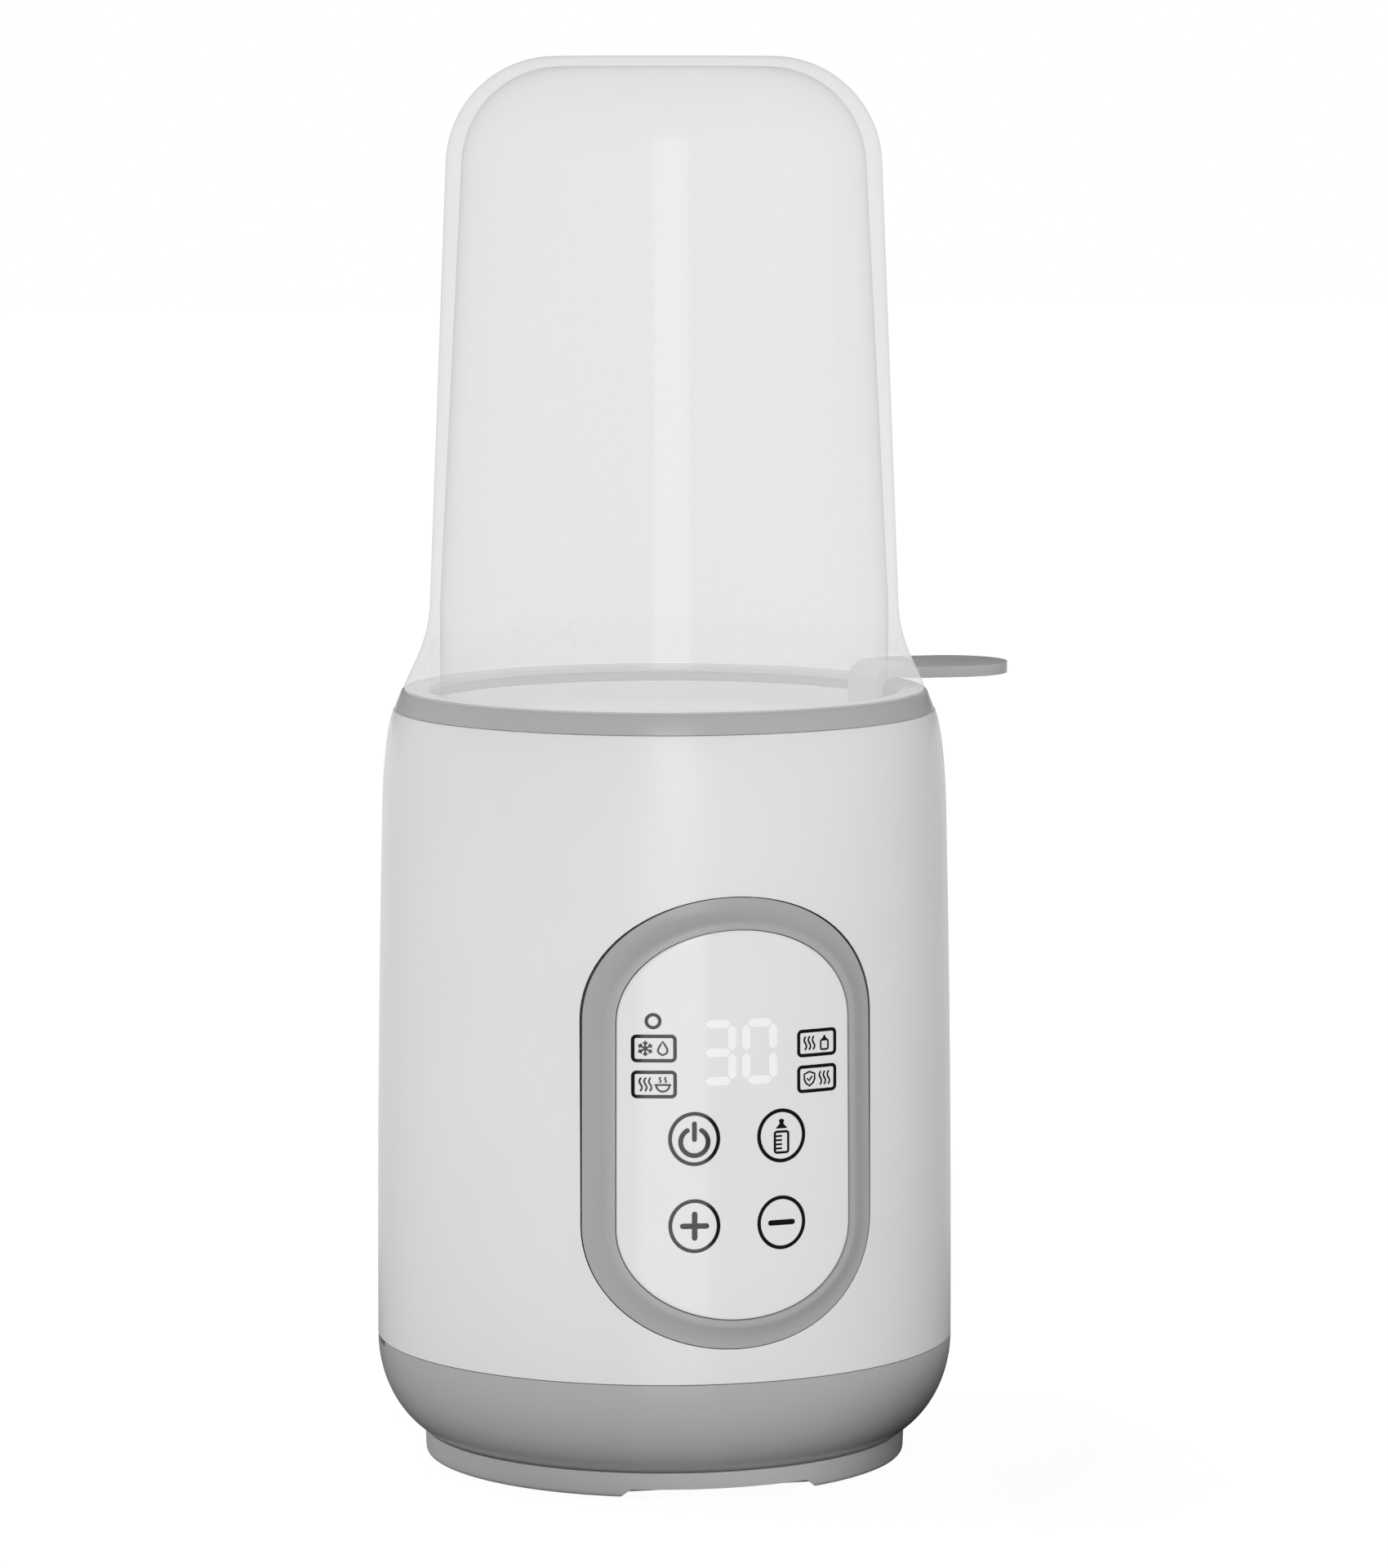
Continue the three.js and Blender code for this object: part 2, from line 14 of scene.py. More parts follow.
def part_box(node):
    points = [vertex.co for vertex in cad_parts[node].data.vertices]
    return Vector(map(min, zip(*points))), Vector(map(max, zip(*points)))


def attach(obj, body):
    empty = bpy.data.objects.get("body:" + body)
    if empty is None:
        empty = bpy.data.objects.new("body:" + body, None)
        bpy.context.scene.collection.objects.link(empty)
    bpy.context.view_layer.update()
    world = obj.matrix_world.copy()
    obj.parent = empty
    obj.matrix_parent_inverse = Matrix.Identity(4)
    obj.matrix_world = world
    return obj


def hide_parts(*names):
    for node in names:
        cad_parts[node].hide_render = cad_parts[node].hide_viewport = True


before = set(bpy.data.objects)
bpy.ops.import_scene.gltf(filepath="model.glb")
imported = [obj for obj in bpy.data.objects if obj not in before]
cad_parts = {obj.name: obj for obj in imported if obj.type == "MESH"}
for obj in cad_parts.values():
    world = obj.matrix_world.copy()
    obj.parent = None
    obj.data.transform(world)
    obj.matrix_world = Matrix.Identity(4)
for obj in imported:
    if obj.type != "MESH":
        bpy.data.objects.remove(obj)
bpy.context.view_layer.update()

MM = 0.001
STEPS = 192  # columns of a large turned surface
SHARP = math.radians(32)


def low(node):
    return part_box(node)[0] / MM


def high(node):
    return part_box(node)[1] / MM


# ----------------------------------------------------------------------------------------------
# Sizes, from the frame where it holds them
# ----------------------------------------------------------------------------------------------

GAP = 0.3
WALL = 2.2
BODY_R = high("housing").x
SEAM_Z = low("housing").z - 0.4
HOUSING_TOP = high("housing").z
FOOT_R = high("bottom_cover").x
BOWL_FOOT_Z = low("lower_shell").z - GAP
BOWL_TOP = SEAM_Z - GAP
COLLAR_R = high("collar").x
COLLAR_TOP = high("collar").z
COVER_FOOT_Z = COLLAR_TOP + 0.2
COVER_TOP = high("cover").z
SPIGOT_Z = low("cover").z
CHAMBER_TOP = high("chamber").z
TAB_REACH = high("basket").x
TAB_TOP = high("basket").z
TRAY_Z = low("basket").z
FLOOR_Z = TRAY_Z - 0.2  # top of the chamber's floor
PAD_LOW = low("foot_pad_1").z
PAD_HIGH = high("foot_pad_1").z
PANEL_Z = (low("panel_bezel").z + high("panel_bezel").z) / 2
PLATE_TOP = 2.6
INLET = (low("power_inlet"), high("power_inlet"))

# The housing's side: a slight barrel, then a quarter of an ellipse for the shoulder.
BARREL_DROP = 1.37
BARREL_SPAN = 112.5
SHOULDER_Z = 143.0
SHOULDER_R = 2.7
SHOULDER_H = 21.0

# The two outlines of the bezel: half angle round the body, half length of the straight sides,
# half height of the elliptical ends.
OUTER = (math.radians(30.0), 21.8, 25.85)
INNER = (math.radians(23.05), 21.7, 19.5)
LIP_HEIGHT = 2.6
PANEL_HEIGHT = 2.35
INK = 0.035  # thickness of a printed symbol

TAB_HALF = 13.0
TAB_THICK = 2.4
STEM_R = 47.3
STEM_THICK = 1.8
STEM_HALF = 10.5
BOWL_R, BOWL_H = 17.5, 22.3

# The cover: a leaning side with a rounded closed end, over a spigot that drops into the collar.
COVER_CORNER = 23.5
COVER_SIDE_FOOT = (50.7, 185.8)
COVER_SIDE_TOP_R = 46.9
COVER_END_WALL = 3.4  # the wall is thicker towards the closed end
SPIGOT_R = 50.5
SPIGOT_TOP = 178.2


def housing_radius(z):
    barrel = BODY_R - BARREL_DROP * ((z - SEAM_Z) / BARREL_SPAN) ** 2
    up = min(1.0, max(0.0, (z - SHOULDER_Z) / SHOULDER_H))
    return barrel - SHOULDER_R * (1 - math.sqrt(1 - up * up))


# ----------------------------------------------------------------------------------------------
# Mesh making
# ----------------------------------------------------------------------------------------------


def piece(name, points, faces, material, body="base", replaces=(), slot=None):
    """A mesh from points in millimetres, facing out, riding on its body."""
    mesh = bpy.data.meshes.new(name)
    mesh.from_pydata([tuple(c * MM for c in p) for p in points], [], faces)
    work = bmesh.new()
    work.from_mesh(mesh)
    bmesh.ops.remove_doubles(work, verts=work.verts, dist=1e-7)
    bmesh.ops.recalc_face_normals(work, faces=work.faces)
    work.to_mesh(mesh)
    work.free()
    made = bpy.data.objects.new(name, mesh)
    bpy.context.scene.collection.objects.link(made)
    if material is not None:
        dress(made, material, body, replaces)
    return made


def dress(made, material, body="base", replaces=()):
    """Gives a finished piece its material, shading, body and the CAD nodes that it stands for."""
    made.data.materials.clear()
    made.data.materials.append(material)
    made.data.shade_smooth()
    made.data.set_sharp_from_angle(angle=SHARP)
    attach(made, body)
    if replaces:
        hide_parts(*replaces)
    return made


def settle(made):
    """Applies a piece's modifiers to its mesh."""
    bpy.context.view_layer.update()
    graph = bpy.context.evaluated_depsgraph_get()
    mesh = bpy.data.meshes.new_from_object(made.evaluated_get(graph))
    made.modifiers.clear()
    made.data = mesh
    return made


def combine(made, others, operation):
    for other in others:
        step = made.modifiers.new(operation, "BOOLEAN")
        step.operation = operation
        step.solver = "EXACT"
        step.object = other
    settle(made)
    for other in others:
        bpy.data.objects.remove(other)
    return made


def cut(made, *others):
    return combine(made, others, "DIFFERENCE")


def join(made, *others):
    return combine(made, others, "UNION")


def keep(made, other):
    return combine(made, [other], "INTERSECT")


def rounded_edges(made, width, angle=35, segments=3):
    """Rounds a piece's edges that are sharper than the angle."""
    step = made.modifiers.new("edges", "BEVEL")
    step.width = width * MM
    step.segments = segments
    step.limit_method = "ANGLE"
    step.angle_limit = math.radians(angle)
    step.miter_outer = "MITER_ARC"
    return settle(made)


def rounded(corners, steps=5):
    """A closed profile's points, with each (r, z, radius) corner turned into a smooth bend."""
    made = []
    count = len(corners)
    for i, (r, z, size) in enumerate(corners):
        here = Vector((r, z))
        before = Vector(corners[i - 1][:2]) - here
        after = Vector(corners[(i + 1) % count][:2]) - here
        if size <= 0:
            made.append((r, z))
            continue
        start = here + before.normalized() * min(size, before.length * 0.49)
        end = here + after.normalized() * min(size, after.length * 0.49)
        for k in range(steps + 1):
            t = k / steps
            at = start * (1 - t) ** 2 + here * 2 * t * (1 - t) + end * t * t
            made.append((at.x, at.y))
    return made


def arc(r, z, size_r, size_z, start, end, steps):
    """(r, z) points along an elliptical arc, angles in degrees from the radial direction."""
    angles = [math.radians(start + (end - start) * i / steps) for i in range(steps + 1)]
    return [(r + size_r * math.cos(a), z + size_z * math.sin(a)) for a in angles]


def bezier(a, b, c, d, steps):
    made = []
    for i in range(steps + 1):
        t = i / steps
        weights = ((1 - t) ** 3, 3 * t * (1 - t) ** 2, 3 * t * t * (1 - t), t**3)
        made.append(tuple(sum(w * p[k] for w, p in zip(weights, (a, b, c, d))) for k in (0, 1)))
    return made


def turned_mesh(profile, steps=STEPS, centre=(0.0, 0.0)):
    """Points and faces of a closed profile turned about a vertical axis."""
    points = []
    columns = []
    for r, z in profile:
        if r < 1e-6:
            points.append((centre[0], centre[1], z))
            columns.append([len(points) - 1] * steps)
            continue
        ring = []
        for k in range(steps):
            a = 2 * math.pi * k / steps
            points.append((centre[0] + r * math.cos(a), centre[1] + r * math.sin(a), z))
            ring.append(len(points) - 1)
        columns.append(ring)
    faces = []
    on_axis = profile[0][0] < 1e-6 and profile[-1][0] < 1e-6
    for i in range(len(columns) - (1 if on_axis else 0)):
        first, second = columns[i], columns[(i + 1) % len(columns)]
        for k in range(steps):
            n = (k + 1) % steps
            face = list(dict.fromkeys((first[k], first[n], second[n], second[k])))
            if len(face) > 2:
                faces.append(face)
    return points, faces


def turned(name, profile, material=None, steps=STEPS, centre=(0.0, 0.0), **what):
    return piece(name, *turned_mesh(profile, steps, centre), material, **what)


def rod(name, radius, bottom, top, centre, material=None, steps=32, **what):
    profile = [(0, bottom), (radius, bottom), (radius, top), (0, top)]
    return turned(name, profile, material, steps, centre, **what)


def lying_rod(name, radius, start, end, x, z, steps=32):
    """A rod along Y, for cutting."""
    points = []
    for y in (start, end):
        for k in range(steps):
            a = 2 * math.pi * k / steps
            points.append((x + radius * math.cos(a), y, z + radius * math.sin(a)))
    sides = [(k, (k + 1) % steps, steps + (k + 1) % steps, steps + k) for k in range(steps)]
    caps = [tuple(range(steps)), tuple(range(steps, 2 * steps))]
    return piece(name, points, sides + caps, None)


def block(name, lowest, highest, material=None, **what):
    xs, ys, zs = zip(lowest, highest)
    points = [(x, y, z) for x in xs for y in ys for z in zs]
    faces = [(0, 1, 3, 2), (4, 6, 7, 5), (0, 4, 5, 1), (2, 3, 7, 6), (0, 2, 6, 4), (1, 5, 7, 3)]
    return piece(name, points, faces, material, **what)


def lying(u, v, z):
    return (u, v, z)


def upright(u, v, y):
    return (u, y, v)


def plate(name, outline, start, end, to_point):
    """A prism between two offsets over a closed outline; to_point turns (u, v, offset) into x, y, z."""
    count = len(outline)
    points = [to_point(u, v, offset) for offset in (start, end) for u, v in outline]
    sides = [(k, (k + 1) % count, count + (k + 1) % count, count + k) for k in range(count)]
    caps = [tuple(range(count)), tuple(range(count, 2 * count))]
    return piece(name, points, sides + caps, None)


# ----------------------------------------------------------------------------------------------
# Materials
# ----------------------------------------------------------------------------------------------


def node(tree, kind, settings=None, **inputs):
    made = tree.nodes.new("ShaderNode" + kind)
    for key, value in (settings or {}).items():
        setattr(made, key, value)
    for key, value in inputs.items():
        socket = made.inputs[int(key[1:])] if key[0] == "_" else made.inputs[key.replace("_", " ")]
        if isinstance(value, bpy.types.NodeSocket):
            tree.links.new(value, socket)
        else:
            socket.default_value = value
    return made


def maths(tree, operation, first, second=0.0):
    """The result of a sum on two numbers or outputs."""
    return node(tree, "Math", {"operation": operation}, _0=first, _1=second).outputs["Value"]


def mapped(tree, value, before, after):
    """The value moved from one range to another, and held within it."""
    limits = dict(zip(("From_Min", "From_Max", "To_Min", "To_Max"), before + after))
    return node(tree, "MapRange", Value=value, **limits).outputs["Result"]


def object_place(tree):
    return node(tree, "TexCoord").outputs["Object"]


def blank(name):
    made = bpy.data.materials.new(name)
    made.use_nodes = True
    made.node_tree.nodes.clear()
    return made, made.node_tree


def surface_out(tree, shader):
    output = tree.nodes.new("ShaderNodeOutputMaterial")
    tree.links.new(shader, output.inputs["Surface"])


def principled(tree, **inputs):
    surface_out(tree, node(tree, "BsdfPrincipled", **inputs).outputs["BSDF"])


def tone(value, tint=(1.0, 1.0, 1.0)):
    return (value * tint[0], value * tint[1], value * tint[2], 1.0)


def mottled(tree, place, value, tint, spread, scale):
    """A colour that drifts a little over the surface, as moulded plastic does."""
    drift = node(tree, "TexNoise", Vector=place, Scale=scale, Detail=3.0)
    ramp = node(tree, "ValToRGB", Fac=drift.outputs["Fac"])
    ramp.color_ramp.elements[0].position = 0.3
    ramp.color_ramp.elements[1].position = 0.7
    ramp.color_ramp.elements[0].color = tone(value * (1 - spread), tint)
    ramp.color_ramp.elements[1].color = tone(value * (1 + spread), tint)
    return ramp.outputs["Color"]


def varied_roughness(tree, place, roughness, spread, scale):
    noise = node(tree, "TexNoise", Vector=place, Scale=scale, Detail=4.0)
    return mapped(tree, noise.outputs["Fac"], (0.0, 1.0), (roughness - spread, roughness + spread))


def moulded(name, value, roughness, grain=1400.0, relief=0.06, coat=0.0, tint=(1, 1, 1), ior=1.46):
    """Moulded plastic: a faint drift of colour, uneven gloss and the fine grain of the tool."""
    made, tree = blank(name)
    place = object_place(tree)
    colour = mottled(tree, place, value, tint, 0.012, 30.0)
    gloss = varied_roughness(tree, place, roughness, 0.035, 220.0)
    grain_noise = node(tree, "TexNoise", Vector=place, Scale=grain, Detail=5.0)
    soft_wave = node(tree, "TexNoise", Vector=place, Scale=90.0, Detail=1.0)
    waves = node(tree, "Bump", Strength=0.05, Distance=0.0002, Height=soft_wave.outputs["Fac"])
    bump = node(
        tree,
        "Bump",
        Strength=relief,
        Distance=0.00006,
        Height=grain_noise.outputs["Fac"],
        Normal=waves.outputs["Normal"],
    )
    principled(
        tree,
        Base_Color=colour,
        Roughness=gloss,
        IOR=ior,
        Coat_Weight=coat,
        Coat_Roughness=0.08,
        Normal=bump.outputs["Normal"],
    )
    return made


def clear_plastic(name, through_share, haze_and_painted_glow, tightness, edge_tint):
    """Clear plastic: through_share of the light passes, less where the surface is seen edge on, and the
    milky share is mostly a painted glow, an even emission that stands for scattered light and shines
    whatever the lamps, with a faint lit milkiness, all under a sharp reflection."""
    made, tree = blank(name)
    place = object_place(tree)
    facing = node(tree, "LayerWeight", Blend=0.5).outputs["Facing"]
    edge = maths(tree, "POWER", facing, tightness)
    face_tint = mottled(tree, place, through_share, (1, 1, 1), 0.004, 14.0)
    rim_tint = tone(through_share * edge_tint)
    tint = node(tree, "MixRGB", Fac=edge, Color1=face_tint, Color2=rim_tint).outputs["Color"]
    shader = node(tree, "BsdfTransparent", Color=tint).outputs["BSDF"]
    if haze_and_painted_glow:
        # Painted glow: an even emission that stands in for the light the milky wall scatters and shines the
        # same whatever the lamps; milk adds it to a faint diffuse and translucent share that the lamps do
        # light.
        painted_glow_colour = mottled(tree, place, 1.0, (1, 1, 1), 0.004, 9.0)
        glow = node(tree, "Emission", Color=painted_glow_colour, Strength=haze_and_painted_glow * 0.86).outputs["Emission"]
        near_side = node(tree, "BsdfDiffuse", Color=tone(haze_and_painted_glow * 0.1)).outputs["BSDF"]
        far_side = node(tree, "BsdfTranslucent", Color=tone(haze_and_painted_glow * 0.1)).outputs["BSDF"]
        lit = node(tree, "AddShader", _0=near_side, _1=far_side).outputs["Shader"]
        milk = node(tree, "AddShader", _0=glow, _1=lit).outputs["Shader"]
        shader = node(tree, "AddShader", _0=shader, _1=milk).outputs["Shader"]
    ripple = node(tree, "TexNoise", Vector=place, Scale=40.0, Detail=1.0)
    bump = node(tree, "Bump", Strength=0.03, Distance=0.0002, Height=ripple.outputs["Fac"])
    gloss = varied_roughness(tree, place, 0.06, 0.015, 60.0)
    shine = node(tree, "BsdfGlossy", Color=tone(1.0), Roughness=gloss, Normal=bump.outputs["Normal"])
    fresnel = node(tree, "Fresnel", IOR=1.27, Normal=bump.outputs["Normal"]).outputs["Fac"]
    capped = maths(tree, "MINIMUM", fresnel, 0.03)
    mixed = node(tree, "MixShader", Fac=capped, _1=shader, _2=shine.outputs["BSDF"])
    surface_out(tree, mixed.outputs["Shader"])
    return made


def rubber(name, value):
    made, tree = blank(name)
    place = object_place(tree)
    colour = mottled(tree, place, value, (1, 1, 1), 0.05, 120.0)
    noise = node(tree, "TexNoise", Vector=place, Scale=2200.0, Detail=6.0)
    bump = node(tree, "Bump", Strength=0.25, Distance=0.0001, Height=noise.outputs["Fac"])
    gloss = varied_roughness(tree, place, 0.72, 0.06, 300.0)
    principled(
        tree,
        Base_Color=colour,
        Roughness=gloss,
        Sheen_Weight=0.15,
        Normal=bump.outputs["Normal"],
    )
    return made


def metal(name, colour, roughness, brushed=(1.0, 1.0, 1.0)):
    """Metal with a fine drawn grain; brushed stretches the grain along an axis."""
    made, tree = blank(name)
    place = object_place(tree)
    stretched = node(tree, "Mapping", Vector=place, Scale=brushed).outputs["Vector"]
    noise = node(tree, "TexNoise", Vector=stretched, Scale=1500.0, Detail=4.0)
    bump = node(tree, "Bump", Strength=0.15, Distance=0.00005, Height=noise.outputs["Fac"])
    ramp = node(tree, "ValToRGB", Fac=noise.outputs["Fac"])
    ramp.color_ramp.elements[0].color = tuple(c * 0.9 for c in colour) + (1.0,)
    ramp.color_ramp.elements[1].color = tuple(c * 1.05 for c in colour) + (1.0,)
    gloss = varied_roughness(tree, stretched, roughness, 0.06, 900.0)
    principled(
        tree,
        Base_Color=ramp.outputs["Color"],
        Roughness=gloss,
        Metallic=1.0,
        Normal=bump.outputs["Normal"],
    )
    return made


def circuit(name):
    """Green solder mask over a maze of copper tracks."""
    made, tree = blank(name)
    place = object_place(tree)
    tracks = node(tree, "TexVoronoi", {"feature": "DISTANCE_TO_EDGE"}, Vector=place, Scale=350.0)
    line = node(tree, "ValToRGB", Fac=tracks.outputs["Distance"])
    line.color_ramp.elements[0].position = 0.06
    line.color_ramp.elements[1].position = 0.09
    line.color_ramp.elements[0].color = (0.05, 0.24, 0.11, 1)
    line.color_ramp.elements[1].color = (0.02, 0.12, 0.055, 1)
    bump = node(tree, "Bump", Strength=0.3, Distance=0.00005, Height=tracks.outputs["Distance"])
    gloss = varied_roughness(tree, place, 0.35, 0.05, 400.0)
    principled(
        tree,
        Base_Color=line.outputs["Color"],
        Roughness=gloss,
        Normal=bump.outputs["Normal"],
    )
    return made


def lit_segment(name):
    """A display segment seen through the white panel: a soft even glow."""
    made, tree = blank(name)
    place = object_place(tree)
    colour = mottled(tree, place, 0.85, (1, 1, 1), 0.01, 300.0)
    principled(
        tree,
        Base_Color=colour,
        Roughness=0.15,
        Emission_Color=colour,
        Emission_Strength=0.06,
        Coat_Weight=0.5,
        Coat_Roughness=0.05,
    )
    return made


WHITE = moulded("gloss white plastic", 0.748, 0.24, relief=0.03)
PANEL_WHITE = moulded("panel white", 0.76, 0.12, relief=0.01, coat=0.3)
GREY = moulded("satin grey plastic", 0.44, 0.22, relief=0.08, ior=1.52)
BEZEL_GREY = moulded("bezel grey plastic", 0.39, 0.3, relief=0.1)
LIGHT_GREY = moulded("satin light grey plastic", 0.6, 0.42, relief=0.1)
POT = moulded("chamber plastic", 0.85, 0.4)
PRINT = moulded("printing ink", 0.004, 0.1, relief=0.01, coat=1.0, ior=1.5)
DARK = moulded("dark plastic", 0.02, 0.45)
RIBBON = moulded("ribbon grey", 0.5, 0.5)
LEAD_RED = moulded("lead red", 0.4, 0.45, tint=(1.0, 0.15, 0.12))
LEAD_BLUE = moulded("lead blue", 0.3, 0.45, tint=(0.2, 0.4, 1.0))
CLEAR = clear_plastic("clear plastic", 0.99, 0.0, 6.0, 0.4)
SKIRT = clear_plastic("clear plastic skirt", 0.99, 0.0, 14.0, 0.9)
# The milky cover's brightness is mostly painted glow: an even emission, not light from the lamps.
MILKY_PAINTED_GLOW = clear_plastic("milky clear plastic with painted glow", 0.335, 0.5, 14.0, 0.2)
RUBBER = rubber("rubber", 0.16)
STEEL = metal("zinc plated steel", (0.62, 0.62, 0.63), 0.34)
ALUMINIUM = metal("aluminium", (0.72, 0.73, 0.74), 0.38, (1.0, 0.08, 1.0))
BRASS = metal("brass", (0.66, 0.53, 0.27), 0.28)
CIRCUIT = circuit("circuit board")
LIT = lit_segment("lit segment")


# ----------------------------------------------------------------------------------------------
# Places on the control area
# ----------------------------------------------------------------------------------------------


def outline_point(share, turn, side):
    """Angle round the body and height of an outline point; share 0 is the bezel's outer edge and 1
    its inner one, and side is the way up the straight part, from -1 to 1."""
    angle, straight, end = (a + (b - a) * share for a, b in zip(OUTER, INNER))
    return angle * math.cos(turn), PANEL_Z + side * straight + end * math.sin(turn)


def outline_turns(per_end=60, per_side=16):
    """(turn, side) pairs once round the oval, in equal steps on its ends and on its sides."""
    turns = []
    for base in (0.0, math.pi):
        way = 1.0 if base == 0.0 else -1.0
        turns += [(base + math.pi * k / per_end, way) for k in range(per_end + 1)]
        turns += [(base + math.pi, way * (1 - 2 * k / per_side)) for k in range(1, per_side)]
    return turns


def on_body(angle, z, height):
    r = housing_radius(z) + height
    return (r * math.sin(angle), -r * math.cos(angle), z)


def on_panel(x, z, height):
    """A point that is printed straight on to the panel from the front."""
    r = housing_radius(z) + PANEL_HEIGHT + height
    return (x, -math.sqrt(r * r - x * x), z)


def oval_prism(share, start, end):
    """A cutter along Y with an outline of the control area."""
    outline = [outline_point(share, *turn) for turn in outline_turns(40, 4)]
    flat = [(BODY_R * math.sin(a), z) for a, z in outline]
    return plate("oval", flat, start, end, upright)


# ----------------------------------------------------------------------------------------------
# Shell pieces
# ----------------------------------------------------------------------------------------------


def rounded_box_outline(half_u, half_v, corner, centre_u=0.0, centre_v=0.0, steps=6):
    points = []
    for k in range(4):
        su = 1 if k in (0, 3) else -1
        sv = 1 if k < 2 else -1
        corner_at = (centre_u + su * (half_u - corner), centre_v + sv * (half_v - corner))
        for i in range(steps + 1):
            a = math.pi / 2 * (k + i / steps)
            points.append((corner_at[0] + corner * math.cos(a), corner_at[1] + corner * math.sin(a)))
    return points


def housing():
    heights = [SEAM_Z + (SHOULDER_Z - SEAM_Z) * i / 14 for i in range(15)]
    heights += [SHOULDER_Z + (HOUSING_TOP - 0.5 - SHOULDER_Z) * i / 14 for i in range(1, 15)]
    outer = [(housing_radius(z), z) for z in heights]
    outer[0] = (outer[0][0] - 0.12, SEAM_Z)
    outer.insert(1, (housing_radius(SEAM_Z), SEAM_Z + 0.12))
    top = housing_radius(HOUSING_TOP - 0.5)
    rim = [(top - 0.15, HOUSING_TOP - 0.12), (top - 0.35, HOUSING_TOP), (top - WALL, HOUSING_TOP)]
    inner = [(housing_radius(z) - WALL, z) for z in heights[::4]][::-1]
    made = turned("housing_shell", outer + rim + inner)
    window = oval_prism(-0.03, -80, -40)
    low_corner, high_corner = INLET
    half_x = (high_corner.x - low_corner.x) / 2 + GAP
    half_z = (high_corner.z - low_corner.z) / 2 + GAP
    middle = (low_corner.z + high_corner.z) / 2
    opening = rounded_box_outline(half_x, half_z, 2.2, 0.0, middle)
    hole = plate("hole", opening, 50, 70, upright)
    cut(made, window, hole)
    return dress(made, WHITE, replaces=["housing"])


def around(name, maker, pitch, angles=(45, 135, 225, 315)):
    made = []
    for k, degrees in enumerate(angles):
        a = math.radians(degrees)
        made.append(maker(f"{name}_{k}", (pitch * math.cos(a), pitch * math.sin(a)), a))
    return made


def rods_around(radius, bottom, top, steps=32):
    """An upright rod at each of the four base screws."""
    return around("rod", lambda name, at, _: rod(name, radius, bottom, top, at, steps=steps), SCREW_PITCH)


SCREW_PITCH = math.hypot(
    (low("foot_pad_1").x + high("foot_pad_1").x) / 2,
    (low("foot_pad_1").y + high("foot_pad_1").y) / 2,
)


def lower_shell():
    centre_r = BODY_R - BOWL_R
    foot = BOWL_FOOT_Z + 0.1
    last = math.degrees(math.asin((BOWL_TOP - foot) / BOWL_H))
    lip_root = math.degrees(math.asin(3 / (BOWL_H - WALL)))
    outside = arc(centre_r, BOWL_TOP, BOWL_R, BOWL_H, -0.4, -last, 40)
    inside = arc(centre_r, BOWL_TOP, BOWL_R - WALL, BOWL_H - WALL, -last, -lip_root, 20)[1:]
    floor = [(47.5, foot), (47.5, foot + WALL)]
    lip = [(58.4, BOWL_TOP - 3), (58.4, BOWL_TOP + 3.6), (58.8, BOWL_TOP + 4)]
    lip += [(59.6, BOWL_TOP + 4), (60, BOWL_TOP + 3.6), (60, BOWL_TOP)]
    edge = [(BODY_R - 0.12, BOWL_TOP + 0.18), (BODY_R, BOWL_TOP + 0.08)]
    made = turned("lower_shell_bowl", outside + floor + inside + lip + edge)

    def rib(name, _, a):
        made_rib = block(name, (44.5, -0.9, 11), (56.5, 0.9, 19))
        made_rib.data.transform(Matrix.Rotation(a, 4, "Z"))
        return made_rib

    def slot_cutter(name, _, a):
        made_slot = block(name, (56, -8, BOWL_TOP - 0.8), (68, 8, BOWL_TOP + 1.4))
        made_slot.data.transform(Matrix.Rotation(a, 4, "Z"))
        return made_slot

    join(made, *rods_around(3.4, 6.0, 21.0), *around("rib", rib, SCREW_PITCH))
    slots = around("slot", slot_cutter, BODY_R, (6.7, 173.3))
    cut(made, *rods_around(1.5, 4.0, 17.0), *slots)
    return dress(made, GREY, replaces=["lower_shell"])


def slot_shade_sheets():
    """A curved dark sheet set a little back in each air slot of the lower shell: painted shade, standing
    for the shadow deep inside the slot.
    """
    for name, middle in (("right", 6.7), ("left", 173.3)):
        angles = [math.radians(middle - 7.2 + 14.4 * k / 12) for k in range(13)]
        outline = [(62.1 * math.cos(a), 62.1 * math.sin(a)) for a in angles]
        outline += [(60.2 * math.cos(a), 60.2 * math.sin(a)) for a in reversed(angles)]
        made = plate("vent_" + name, outline, BOWL_TOP - 0.85, BOWL_TOP + 0.28, lying)
        dress(made, DARK)


